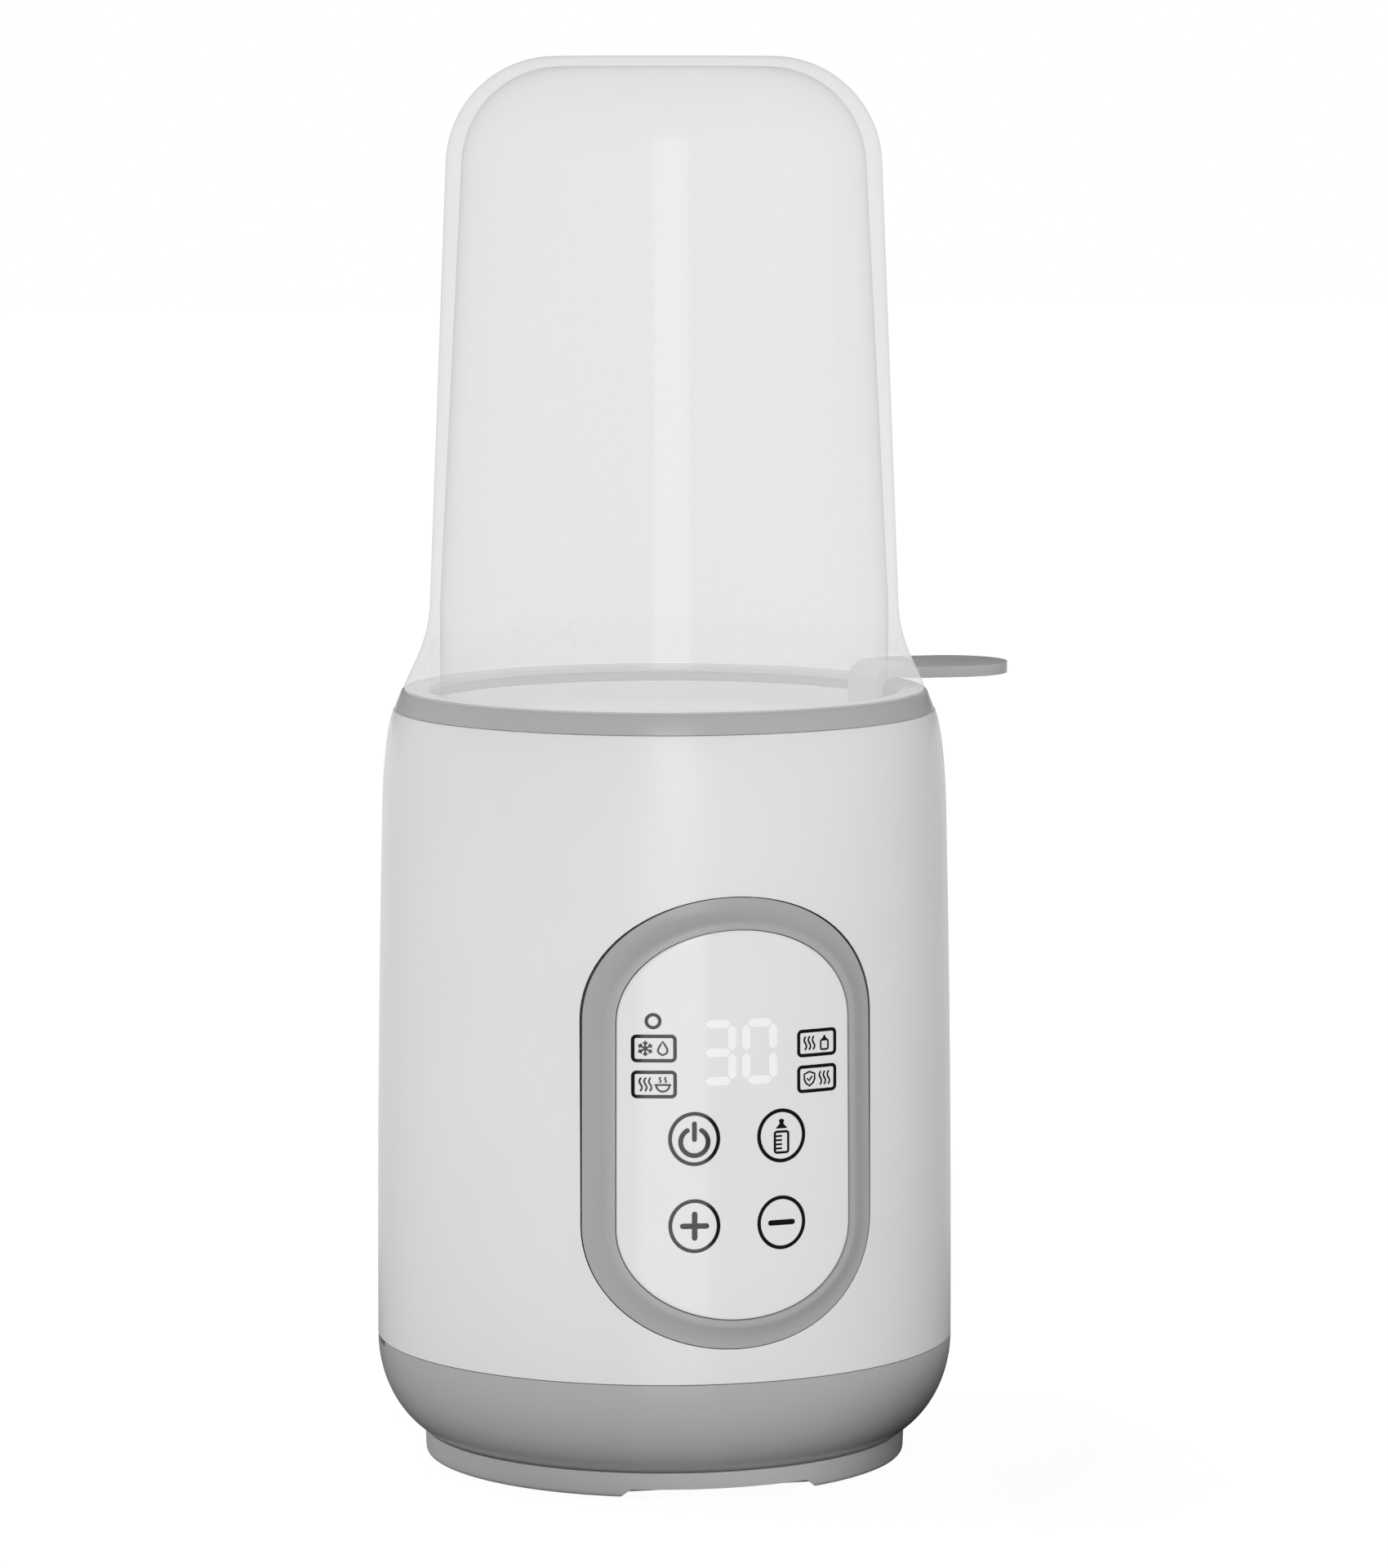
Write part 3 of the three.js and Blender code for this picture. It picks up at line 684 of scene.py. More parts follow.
def bottom_cover():
    profile = rounded(
        [
            (FOOT_R - 0.2, 0, 1.5),
            (FOOT_R, BOWL_FOOT_Z, 0.2),
            (47, BOWL_FOOT_Z, 0),
            (47, BOWL_FOOT_Z + 1.9, 0.3),
            (45.4, BOWL_FOOT_Z + 1.9, 0.3),
            (45.4, PLATE_TOP, 0),
        ],
        8,
    )
    made = turned("base_plate", [(0, 0)] + profile + [(0, PLATE_TOP)])
    power = (low("power_board"), high("power_board"))
    post_x = power[1].x - 4
    post_y = power[1].y - 4
    posts = [
        rod("post", 3, 2, power[0].z, (sx * post_x, sy * post_y)) for sx in (1, -1) for sy in (1, -1)
    ]
    recess = [(-22.2, -1), (22.2, -1), (21.8, 0.0), (21.2, 0.55), (20.0, 1.65), (19.3, 2.1), (18.6, 2.2)]
    recess += [(-u, v) for u, v in recess[:1:-1]]
    recesses = [
        plate("recess", recess, side * 43, side * 60, upright) for side in (1, -1)
    ]
    collars = around("collar", lambda n, at, _: rod(n, 5.4, 2.2, 5.2, at), SCREW_PITCH - 4)
    join(made, *posts, *collars)
    # For each screw: the pad's pocket, the head, the shank, and room for the shell's boss.
    holes = rods_around(5.6, -1, 1.2, steps=48) + rods_around(3.4, -1, 3.5)
    holes += rods_around(1.9, -1, 11) + rods_around(3.8, 5.6, 15)
    cut(made, *recesses, *holes)
    return dress(made, LIGHT_GREY, replaces=["bottom_cover"])


def foot_pads():
    for k in range(1, 5):
        node_name = f"foot_pad_{k}"
        middle = (low(node_name) + high(node_name)) / 2
        radius = (high(node_name).x - low(node_name).x) / 2
        edge = rounded([(radius, PAD_LOW, 0.45), (radius, PAD_HIGH, 0.1)])
        profile = [(0, PAD_LOW)] + edge + [(0, PAD_HIGH)]
        what = {"centre": (middle.x, middle.y), "replaces": [node_name], "slot": "rubber_grey"}
        turned(f"rubber_foot_{k}", profile, RUBBER, 48, **what)


def collar():
    profile = rounded(
        [
            (COLLAR_R + 0.1, HOUSING_TOP + 0.08, 0.15),
            (56.8, COLLAR_TOP, 0.75),
            (51, COLLAR_TOP, 0.6),
            (51, COLLAR_TOP - 1.4, 0.2),
            (54.9, COLLAR_TOP - 1.4, 0),
            (54.9, 157.5, 0.2),
            (55.9, 157.5, 0.2),
            (55.9, HOUSING_TOP + 0.08, 0),
        ],
    )
    return turned("collar_ring", profile, GREY, replaces=["collar"], slot="grey_plastic")


def panel_bezel():
    cove = [(0.68 * i / 16, 0.12 + 1.88 * (i / 16) ** 2.1) for i in range(17)]
    profile = [(0.0, -1.6), (0.0, 0.0), (0.006, 0.08)] + cove[1:]
    profile += [(0.72, 2.22), (0.76, 2.4), (0.8, 2.52), (0.84, 2.58), (0.88, LIP_HEIGHT)]
    profile += [(0.96, LIP_HEIGHT), (0.985, LIP_HEIGHT - 0.05), (0.996, LIP_HEIGHT - 0.2)]
    profile += [(1.0, LIP_HEIGHT - 0.45), (1.0, -2.6), (0.6, -2.6), (0.6, -1.6)]
    turns = outline_turns()
    points = []
    for turn in turns:
        for share, height in profile:
            angle, z = outline_point(share, *turn)
            points.append(on_body(angle, z, height))
    count, around_count = len(profile), len(turns)
    faces = []
    for i in range(around_count):
        n = (i + 1) % around_count
        for j in range(count):
            m = (j + 1) % count
            faces.append((i * count + j, i * count + m, n * count + m, n * count + j))
    what = {"replaces": ["panel_bezel"], "slot": "grey_plastic"}
    return piece("panel_bezel_ring", points, faces, BEZEL_GREY, **what)


def control_panel():
    """A crowned plate in rings from its centre to its rounded edge, and back underneath."""
    edge = 1.02
    turns = outline_turns(60, 12)
    top = [(s, PANEL_HEIGHT) for s in (0.1, 0.25, 0.4, 0.55, 0.7, 0.82, 0.92, 0.97, 0.985)]
    rim = [(0.994, PANEL_HEIGHT - 0.05), (0.999, PANEL_HEIGHT - 0.18), (1.0, PANEL_HEIGHT - 0.4)]
    under = [(1.0, GAP), (0.7, GAP), (0.35, GAP)]
    rings = top + rim + under
    points = [on_body(0, PANEL_Z, PANEL_HEIGHT)]
    for scale, height in rings:
        for turn in turns:
            angle, z = outline_point(edge, *turn)
            points.append(on_body(angle * scale, PANEL_Z + (z - PANEL_Z) * scale, height))
    points.append(on_body(0, PANEL_Z, GAP))
    count = len(turns)
    last = len(points) - 1
    faces = []
    for k in range(count):
        n = (k + 1) % count
        faces.append((0, 1 + k, 1 + n))
        for ring in range(len(rings) - 1):
            a, b = 1 + ring * count, 1 + (ring + 1) * count
            faces.append((a + k, b + k, b + n, a + n))
        base = 1 + (len(rings) - 1) * count
        faces.append((base + k, last, base + n))
    what = {"replaces": ["control_panel"], "slot": "panel_white"}
    return piece("control_panel_plate", points, faces, PANEL_WHITE, **what)


# ----------------------------------------------------------------------------------------------
# Printed symbols
# ----------------------------------------------------------------------------------------------


def round_end(at, along, side, half, angles):
    """(left, right) points of a stroke's round end."""
    made = []
    for a in angles:
        middle = at + along * half * math.sin(math.radians(a))
        reach = side * half * math.cos(math.radians(a))
        made.append((middle + reach, middle - reach))
    return made


class Print:
    """Collects thin raised shapes on the panel, each a row of left and right edge points."""

    def __init__(self):
        self.points = []
        self.faces = []

    def ribbon(self, pairs, closed=False):
        """A closed thin solid over a row of (left, right) points, bent with the panel."""
        base = len(self.points)
        pairs = self.fine(pairs, closed)
        for left, right in pairs:
            self.points += [on_panel(*left, -INK), on_panel(*right, -INK)]
            self.points += [on_panel(*right, INK), on_panel(*left, INK)]
        count = len(pairs)
        for i in range(count if closed else count - 1):
            a, b = base + 4 * i, base + 4 * ((i + 1) % count)
            self.faces += [(a + j, a + (j + 1) % 4, b + (j + 1) % 4, b + j) for j in range(4)]
        if not closed:
            end = base + 4 * (count - 1)
            self.faces += [(base, base + 1, base + 2, base + 3), (end, end + 3, end + 2, end + 1)]

    @staticmethod
    def fine(pairs, closed):
        """The same row of points with no step longer than 0.6 mm."""
        made = []
        for i, (left, right) in enumerate(pairs):
            made.append((left, right))
            if i == len(pairs) - 1 and not closed:
                break
            ends = [Vector(p) for p in (left, right, *pairs[(i + 1) % len(pairs)])]
            parts = math.ceil(max((ends[2] - ends[0]).length, (ends[3] - ends[1]).length) / 0.6)
            for k in range(1, parts):
                made.append((ends[0].lerp(ends[2], k / parts), ends[1].lerp(ends[3], k / parts)))
        return made

    def stroke(self, path, width, closed=False):
        """A line of even width with round ends through the points."""
        points = [Vector(p) for p in path]
        half = width / 2
        pairs = []
        count = len(points)
        sides = []
        for i, here in enumerate(points):
            before = points[i - 1] if closed or i else here
            after = points[(i + 1) % count] if closed or i < count - 1 else here
            along = (after - before).normalized()
            sides.append((along, Vector((-along.y, along.x))))
        if not closed:
            pairs += round_end(points[0], *sides[0], half, (-80, -60, -40, -20))
        for here, (_, side) in zip(points, sides):
            pairs.append((here + side * half, here - side * half))
        if not closed:
            pairs += round_end(points[-1], *sides[-1], half, (20, 40, 60, 80))
        self.ribbon(pairs, closed)

    def solid(self, rows):
        """A filled shape from (height, left, right) rows."""
        self.ribbon([((left, z), (right, z)) for z, left, right in rows])

    def make(self, name, material, slot):
        return piece(name, self.points, self.faces, material, slot=slot)


def circle(x, z, radius, start=0.0, end=360.0, steps=48):
    """Points on a circle, angles in degrees clockwise from the top."""
    whole = end - start >= 360
    angles = [math.radians(start + (end - start) * i / steps) for i in range(steps + (not whole))]
    return [(x + radius * math.sin(a), z + radius * math.cos(a)) for a in angles]


KEY_X = 9.4
KEY_TOP = 79.42
KEY_LOW = 61.02
KEY_RADIUS = 5.02
KEY_UPRIGHT = 5.31  # the rings are a little taller than wide
LINE = 0.78


def ring_key(x, z):
    key = Print()
    tall = KEY_UPRIGHT / KEY_RADIUS
    oval = [(u, z + (v - z) * tall) for u, v in circle(x, z, KEY_RADIUS, steps=72)]
    key.stroke(oval, LINE, closed=True)
    return key


def power_symbol():
    key = ring_key(-KEY_X, KEY_TOP)
    middle = KEY_TOP - 0.65
    key.stroke(circle(-KEY_X, middle, 2.85, 31, 329, 40), 1.0)
    key.stroke([(-KEY_X, KEY_TOP + 3.2), (-KEY_X, KEY_TOP - 0.1)], 1.0)
    key.make("symbol_power", PRINT, "dark_plastic")


def bottle_symbol():
    key = ring_key(KEY_X, KEY_TOP)
    middle = KEY_TOP - 1.38
    key.stroke(rounded_box_outline(1.5, 2.2, 0.45, KEY_X, middle), 0.5, closed=True)
    for k in range(4):
        z = middle + 1.28 - 0.87 * k
        key.stroke([(KEY_X - 1.2, z), (KEY_X - 0.05, z)], 0.4)
    teat = [(1.5, 1.2), (1.75, 1.15), (2.0, 0.9), (2.3, 0.6), (2.55, 0.42), (2.75, 0.42)]
    teat += [(2.95, 0.56), (3.15, 0.58), (3.35, 0.46), (3.5, 0.2)]
    key.solid([(KEY_TOP + z, KEY_X - half, KEY_X + half) for z, half in teat])
    key.make("symbol_bottle", PRINT, "dark_plastic")


def plus_symbol():
    key = ring_key(-KEY_X, KEY_LOW)
    key.stroke([(-KEY_X - 2.45, KEY_LOW), (-KEY_X + 2.45, KEY_LOW)], 1.15)
    key.stroke([(-KEY_X, KEY_LOW - 2.5), (-KEY_X, KEY_LOW + 2.5)], 1.15)
    key.make("symbol_plus", PRINT, "dark_plastic")


def minus_symbol():
    key = ring_key(KEY_X, KEY_LOW)
    key.stroke([(KEY_X - 2.45, KEY_LOW), (KEY_X + 2.45, KEY_LOW)], 1.15)
    key.make("symbol_minus", PRINT, "dark_plastic")


def mode_frame(x, z):
    box = Print()
    box.stroke(rounded_box_outline(4.24, 2.56, 0.75, x, z), 0.72, closed=True)
    return box


def heat_waves(box, x, z, count=3):
    """Rising heat: wavy upright lines."""
    for k in range(count):
        at = x + (k - (count - 1) / 2) * 0.95
        path = [(at + 0.26 * math.sin(t / 8 * 2 * math.pi), z - 1.3 + 2.6 * t / 8) for t in range(9)]
        box.stroke(path, 0.38)


def snowflake(box, x, z):
    for k in range(3):
        a = math.radians(60 * k + 30)
        reach = Vector((math.cos(a), math.sin(a)))
        middle = Vector((x, z))
        box.stroke([middle - reach * 1.45, middle + reach * 1.45], 0.36)
        for way in (1, -1):
            knee = middle + reach * way * 0.85
            for side in (1, -1):
                turn = math.radians(45) * side
                out = Vector((math.cos(a + turn), math.sin(a + turn))) * way
                box.stroke([knee, knee + out * 0.5], 0.3)


def droplet(box, x, z):
    path = [(0.0, 1.45), (0.5, 0.65), (0.9, -0.05), (0.98, -0.5), (0.72, -1.05), (0.0, -1.4)]
    left = [(-u, v) for u, v in path[1:-1]][::-1]
    box.stroke([(x + u, z + v) for u, v in path + left], 0.38, closed=True)


def bowl(box, x, z):
    box.stroke(circle(x, z - 0.15, 1.35, 92, 268, 16), 0.38)
    box.stroke([(x - 1.55, z - 0.1), (x + 1.55, z - 0.1)], 0.38)
    for side in (-0.55, 0.55):
        path = [(x + side + 0.16 * math.sin(t * 1.3), z + 0.45 + 0.2 * t) for t in range(6)]
        box.stroke(path, 0.32)


def small_bottle(box, x, z):
    box.stroke(rounded_box_outline(0.85, 1.0, 0.3, x, z - 0.55), 0.38, closed=True)
    cap = [(0.62, 0.62), (0.85, 0.5), (1.05, 0.26), (1.25, 0.24), (1.45, 0.12)]
    box.solid([(z + v, x - half, x + half) for v, half in cap])


def shield(box, x, z):
    right = [(0.0, 1.5), (1.2, 1.05), (1.2, -0.1), (0.85, -0.85), (0.0, -1.5)]
    left = [(-u, v) for u, v in right[1:-1]][::-1]
    box.stroke([(x + u, z + v) for u, v in right + left], 0.38, closed=True)
    box.stroke([(x - 0.5, z + 0.05), (x - 0.1, z - 0.4), (x + 0.55, z + 0.45)], 0.36)


def mode_symbols():
    """Four framed modes: thaw, heat food, warm milk, sterilize."""
    rows = (98.5, 90.95)
    modes = [
        ("thaw", -1, rows[0], snowflake, droplet),
        ("heat_food", -1, rows[1], heat_waves, bowl),
        ("warm_milk", 1, rows[0], heat_waves, small_bottle),
        ("sterilize", 1, rows[1], shield, heat_waves),
    ]
    for name, side, z, left, right in modes:
        x = side * 17.58
        box = mode_frame(x, z)
        left(box, x - 1.75, z)
        right(box, x + 1.75, z)
        box.make(f"symbol_{name}", PRINT, "dark_plastic")


def status_ring():
    mark = Print()
    mark.stroke(circle(-17.75, 104.25, 1.36, steps=40), 0.68, closed=True)
    mark.make("status_light_ring", PRINT, "dark_plastic")


def digit(name, x, segments):
    """A seven-segment digit; segments are named a to g, clockwise from the top, g in the middle."""
    half_w, half_h, thick = 2.95, 6.0, 1.8
    trim = 0.28
    top, middle, bottom = 97.5 + half_h, 97.5, 97.5 - half_h
    ends = {
        "a": ((x - half_w, top), (x + half_w, top)),
        "b": ((x + half_w, middle), (x + half_w, top)),
        "c": ((x + half_w, bottom), (x + half_w, middle)),
        "d": ((x - half_w, bottom), (x + half_w, bottom)),
        "e": ((x - half_w, bottom), (x - half_w, middle)),
        "f": ((x - half_w, middle), (x - half_w, top)),
        "g": ((x - half_w, middle), (x + half_w, middle)),
    }
    mark = Print()
    for key in segments:
        start, end = (Vector(p) for p in ends[key])
        along = (end - start).normalized()
        side = Vector((-along.y, along.x)) * thick / 2
        start, end = start + along * trim, end - along * trim
        inset = along * thick / 2
        rows = [(start, 0.02), (start + inset * 0.5, 0.62), (start + inset, 1.0)]
        rows += [(end - inset, 1.0), (end - inset * 0.5, 0.62), (end, 0.02)]
        mark.ribbon([(at + side * w, at - side * w) for at, w in rows])
    mark.make(name, LIT, "panel_white")


# ----------------------------------------------------------------------------------------------
# Cover and basket
# ----------------------------------------------------------------------------------------------


def cover():
    corner = COVER_CORNER
    side_r, side_z = COVER_SIDE_FOOT
    top_r = COVER_SIDE_TOP_R
    corner_z = COVER_TOP - corner
    spigot = SPIGOT_R
    lean = math.degrees(math.atan2(side_r - top_r, corner_z - side_z))
    outside = [(0, COVER_TOP), (12, COVER_TOP)]
    outside += arc(top_r - corner, corner_z, corner, corner, 90, lean, 24)
    outside += bezier((side_r, side_z), (51.1, 177.5), (55.0, 172.0), (56.35, COVER_FOOT_Z + 0.35), 20)
    foot = [(56.2, COVER_FOOT_Z + 0.05), (55.9, COVER_FOOT_Z), (54.9, COVER_FOOT_Z)]
    foot += [(54.6, COVER_FOOT_Z + 0.1)]
    under = bezier((54.5, COVER_FOOT_Z + 0.4), (53.2, 171.3), (51.5, 175), (spigot, SPIGOT_TOP), 12)
    tube = [(spigot, SPIGOT_Z + 0.3), (spigot - 0.3, SPIGOT_Z)]
    tube += [(spigot - 1.7, SPIGOT_Z), (spigot - 2, SPIGOT_Z + 0.3)]
    inner = corner - WALL
    inner_r = top_r - COVER_END_WALL
    lean = math.degrees(math.atan2(spigot - 2 - inner_r, corner_z - side_z))
    inside = [(spigot - 2, side_z)] + arc(inner_r - inner, corner_z, inner, inner, lean, 90, 20)
    inside += [(12, COVER_TOP - WALL), (0, COVER_TOP - WALL)]
    made = turned("cover_shell", outside + foot + under + tube + inside)
    half = TAB_HALF + 1
    top = TAB_TOP + 1
    notch = rounded_box_outline(half, 15, 1.8, 0.0, top - 15)
    cutter = plate("notch", notch, 40, 70, lambda u, v, x: (x, u, v))
    cut(made, cutter)
    dress(made, CLEAR, body="cover", replaces=["cover"])
    made.visible_shadow = False  # the wall lets light in all over; it must not shade what it holds
    made.data.materials.append(MILKY_PAINTED_GLOW)
    made.data.materials.append(SKIRT)
    for face in made.data.polygons:
        middle = face.center / MM
        outward = face.normal.x * middle.x + face.normal.y * middle.y > 0.05 or face.normal.z > 0.3
        from_axis = math.hypot(middle.x, middle.y)
        is_low = middle.z < SPIGOT_TOP + 0.1
        if outward and middle.z > COVER_FOOT_Z and not (is_low and from_axis < spigot + 0.1):
            face.material_index = 1
        elif is_low and from_axis > spigot - 1.9:
            face.material_index = 2


def basket():
    stem_in = STEM_R - STEM_THICK
    tab_low = TAB_TOP - TAB_THICK
    centre = TAB_REACH - TAB_HALF
    hook = [(stem_in, TRAY_Z + 2.8), (STEM_R, TRAY_Z + 2.8)]
    hook += arc(STEM_R + 2.5, tab_low - 2.5, 2.5, 2.5, 180, 90, 12)
    hook += [(TAB_REACH, tab_low), (TAB_REACH, TAB_TOP)]
    hook += arc(stem_in + 4.5, TAB_TOP - 4.5, 4.5, 4.5, 90, 180, 14)
    made = turned("lift_basket", hook, steps=288)
    bend, wide = STEM_R + 1.2, STEM_R + 7.2
    middle = (bend + wide) / 2
    widening = bezier((bend, STEM_HALF), (middle, STEM_HALF), (middle, TAB_HALF), (wide, TAB_HALF), 10)
    plan = [(30, -STEM_HALF)] + [(x, -y) for x, y in widening]
    for k in range(33):
        a = math.radians(-90 + 180 * k / 32)
        plan.append((centre + TAB_HALF * math.cos(a), TAB_HALF * math.sin(a)))
    plan += widening[::-1] + [(30, STEM_HALF)]
    keep(made, plate("plan", plan, 50, 190, lying))
    rounded_edges(made, 0.3)
    tray_top = TRAY_Z + 4.8
    rim = rounded(
        [
            (42.2, tray_top, 0.8),
            (42.2, tray_top + 6, 0.6),
            (44, tray_top + 6, 0.6),
            (44, TRAY_Z, 0.5),
            (42, TRAY_Z, 0.5),
            (42, tray_top - 2, 0.5),
        ],
    )
    tray = turned("tray", [(0, tray_top)] + rim + [(0, tray_top - 2)])
    root = block("root", (41.6, -STEM_HALF + 0.6, TRAY_Z + 3.2), (46.4, STEM_HALF - 0.6, tray_top + 2.5))
    holes = []
    for k in range(6):
        a = math.radians(60 * k)
        holes.append(rod("hole", 6, 50, 90, (26 * math.cos(a), 26 * math.sin(a)), steps=40))
        b = math.radians(60 * k + 30)
        holes.append(rod("hole", 2.6, 50, 90, (34 * math.cos(b), 34 * math.sin(b)), steps=28))
    holes.append(rod("hole", 8, 50, 90, (0, 0), steps=48))
    cut(tray, *holes)
    join(made, tray, root)
    return dress(made, GREY, body="basket", replaces=["basket"])


# ----------------------------------------------------------------------------------------------
# Chamber, heater and inlet
# ----------------------------------------------------------------------------------------------


def chamber():
    profile = rounded(
        [
            (50.9, CHAMBER_TOP, 0.4),
            (50.9, 158.8, 0.8),
            (49.2, 158.2, 0.8),
            (48.2, FLOOR_Z, 5.0),
            (38.5, FLOOR_Z, 0.4),
            (38.5, FLOOR_Z - 2, 0),
            (50.2, FLOOR_Z - 2, 3.0),
            (51.2, 156, 1.0),
            (52.9, 158.5, 0.5),
            (52.9, CHAMBER_TOP - 2, 0.3),
            (54.6, CHAMBER_TOP - 2, 0.3),
            (54.6, CHAMBER_TOP, 0.3),
        ],
        6,
    )
    made = turned("chamber_pot", profile)
    reach = 45.5
    bosses = [rod("boss", 3.6, 48.5, 60.5, (side * reach, 0)) for side in (1, -1)]
    join(made, *bosses)
    pilots = [rod("pilot", 1.5, 47, 56.5, (side * reach, 0)) for side in (1, -1)]
    cut(made, *pilots)
    return dress(made, POT, replaces=["chamber"])


def ring_piece(name, node_name, inner, material, slot):
    """A rubber ring with rounded edges in a CAD ring's place."""
    bottom, top, outer = low(node_name).z, high(node_name).z, high(node_name).x
    corners = [(outer, bottom, 0.3), (outer, top, 0.3), (inner, top, 0.3), (inner, bottom, 0.3)]
    turned(name, rounded(corners), material, replaces=[node_name], slot=slot)


def heating_plate():
    bottom, top = low("heating_plate").z, high("heating_plate").z
    outer = high("heating_plate").x
    rim = rounded(
        [
            (37.8, top, 0.7),
            (37.8, bottom + 1.2, 0.2),
            (outer, bottom + 1.2, 0.3),
            (outer, bottom, 0.3),
        ],
    )
    grooves = []
    for r in (12, 20, 28):
        grooves += [(r - 0.5, top), (r - 0.2, top - 0.25), (r + 0.2, top - 0.25), (r + 0.5, top)]
    profile = [(0, top)] + grooves + rim + [(0, bottom)]
    what = {"replaces": ["heating_plate"], "slot": "aluminium"}
    turned("heater_plate_disc", profile, ALUMINIUM, **what)


def power_inlet():
    low_corner, high_corner = INLET
    half_x = (high_corner.x - low_corner.x) / 2
    half_z = (high_corner.z - low_corner.z) / 2
    middle = (high_corner.z + low_corner.z) / 2
    outline = rounded_box_outline(half_x, half_z, 2.0, 0.0, middle)
    made = plate("inlet_body", outline, low_corner.y, high_corner.y, upright)
    well = [lying_rod("lobe", 4.2, 49, 66, side * 4.2, middle, 40) for side in (1, -1)]
    waist = block("waist", (-4.2, 49, middle - 3), (4.2, 66, middle + 3))
    holes = [lying_rod("pin_hole", 1.5, 40, 50, side * 4.2, middle) for side in (1, -1)]
    cut(made, *well, waist, *holes)
    rounded_edges(made, 0.35, angle=50, segments=2)
    dress(made, DARK, replaces=["power_inlet"])
    for k, side in enumerate((-1, 1), 1):
        start, end = low(f"inlet_pin_{k}").y, high(f"inlet_pin_{k}").y
        profile = rounded([(1.2, 0, 0.1), (1.2, end - start, 0.9)])
        points, faces = turned_mesh([(0, 0)] + profile + [(0, end - start)], 32)
        turned_points = [(side * 4.2 + x, start + z, middle - y) for x, y, z in points]
        what = {"replaces": [f"inlet_pin_{k}"], "slot": "brass_pin"}
        piece(f"inlet_contact_{k}", turned_points, faces, BRASS, **what)


HIDDEN = {
    DARK: ["transformer", "relay", "capacitor", "display_module", "buzzer"],
    CIRCUIT: ["power_board", "control_board"],
    ALUMINIUM: ["ptc_heater"],
    STEEL: ["heater_clamp", "thermostat", "thermal_fuse", "clamp_screw_1", "clamp_screw_2"]
    + ["board_screw_1", "board_screw_2", "control_screw_1", "control_screw_2"]
    + [f"base_screw_{k}" for k in range(1, 5)],
    BRASS: ["temperature_sensor"],
    RUBBER: [f"key_contact_{row}_{side}" for row in ("upper", "lower") for side in ("left", "right")],
    CLEAR: ["light_guide"],
    LEAD_BLUE: ["inlet_lead_1", "heater_lead_1"],
    LEAD_RED: ["inlet_lead_2", "heater_lead_2"],
    RIBBON: ["ribbon_cable"],
}


def hidden_parts():
    """Parts behind the shells keep their CAD shape and get a finished material."""
    for material, names in HIDDEN.items():
        for name in names:
            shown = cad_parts[name]
            shown.data.materials.clear()
            shown.data.materials.append(material)


housing()
lower_shell()
slot_shade_sheets()
bottom_cover()
foot_pads()
collar()
panel_bezel()
control_panel()
power_symbol()
bottle_symbol()
plus_symbol()
minus_symbol()
mode_symbols()
status_ring()
digit("digit_tens", -4.35, "abcdg")
digit("digit_units", 4.6, "abcdef")
cover()
basket()
chamber()
ring_piece("collar_seal", "chamber_seal", 52, RUBBER, "rubber_grey")
ring_piece("plate_gasket", "heater_gasket", 38.2, RUBBER, "rubber_grey")
heating_plate()
power_inlet()
hidden_parts()


# ----------------------------------------------------------------------------------------------
# Stage, light and camera
# ----------------------------------------------------------------------------------------------

VIEW_AZIMUTH = math.radians(-13.9)  # the camera stands a little to the panel's left
CAMERA_DISTANCE = 1.4274
CAMERA_HEIGHT = 0.3082
CAMERA_PITCH = math.radians(6.457)
CAMERA_YAW = math.radians(0.259)
LENS_MM = 151.93


def camera():
    data = bpy.data.cameras.new("camera")
    data.sensor_width = 36
    data.lens = LENS_MM
    data.clip_start = 0.05
    data.clip_end = 20
    made = bpy.data.objects.new("camera", data)
    a = VIEW_AZIMUTH
    made.location = (
        CAMERA_DISTANCE * math.sin(a),
        -CAMERA_DISTANCE * math.cos(a),
        CAMERA_HEIGHT,
    )
    made.rotation_euler = (math.pi / 2 - CAMERA_PITCH, 0, a - CAMERA_YAW)
    bpy.context.scene.collection.objects.link(made)
    bpy.context.scene.camera = made


def toward(azimuth_from_camera, elevation):
    """A direction, as degrees to the right of the camera and above the horizon."""
    a = VIEW_AZIMUTH + math.radians(azimuth_from_camera)
    e = math.radians(elevation)
    return Vector((math.sin(a) * math.cos(e), -math.cos(a) * math.cos(e), math.sin(e)))


def reach_along(tree, place, direction):
    """How far a vector reaches in a direction."""
    settings = {"operation": "DOT_PRODUCT"}
    return node(tree, "VectorMath", settings, _0=place, _1=direction).outputs["Value"]


def lobe(tree, way, direction, power):
    """A soft glow round a direction: 1 in its middle, and nothing from a right angle on."""
    ahead = maths(tree, "MAXIMUM", reach_along(tree, way, direction))
    return maths(tree, "POWER", ahead, power)


def way_and_reach(tree, place):
    way = node(tree, "VectorMath", {"operation": "NORMALIZE"}, _0=place).outputs["Vector"]
    return way, node(tree, "VectorMath", {"operation": "LENGTH"}, _0=place).outputs["Value"]


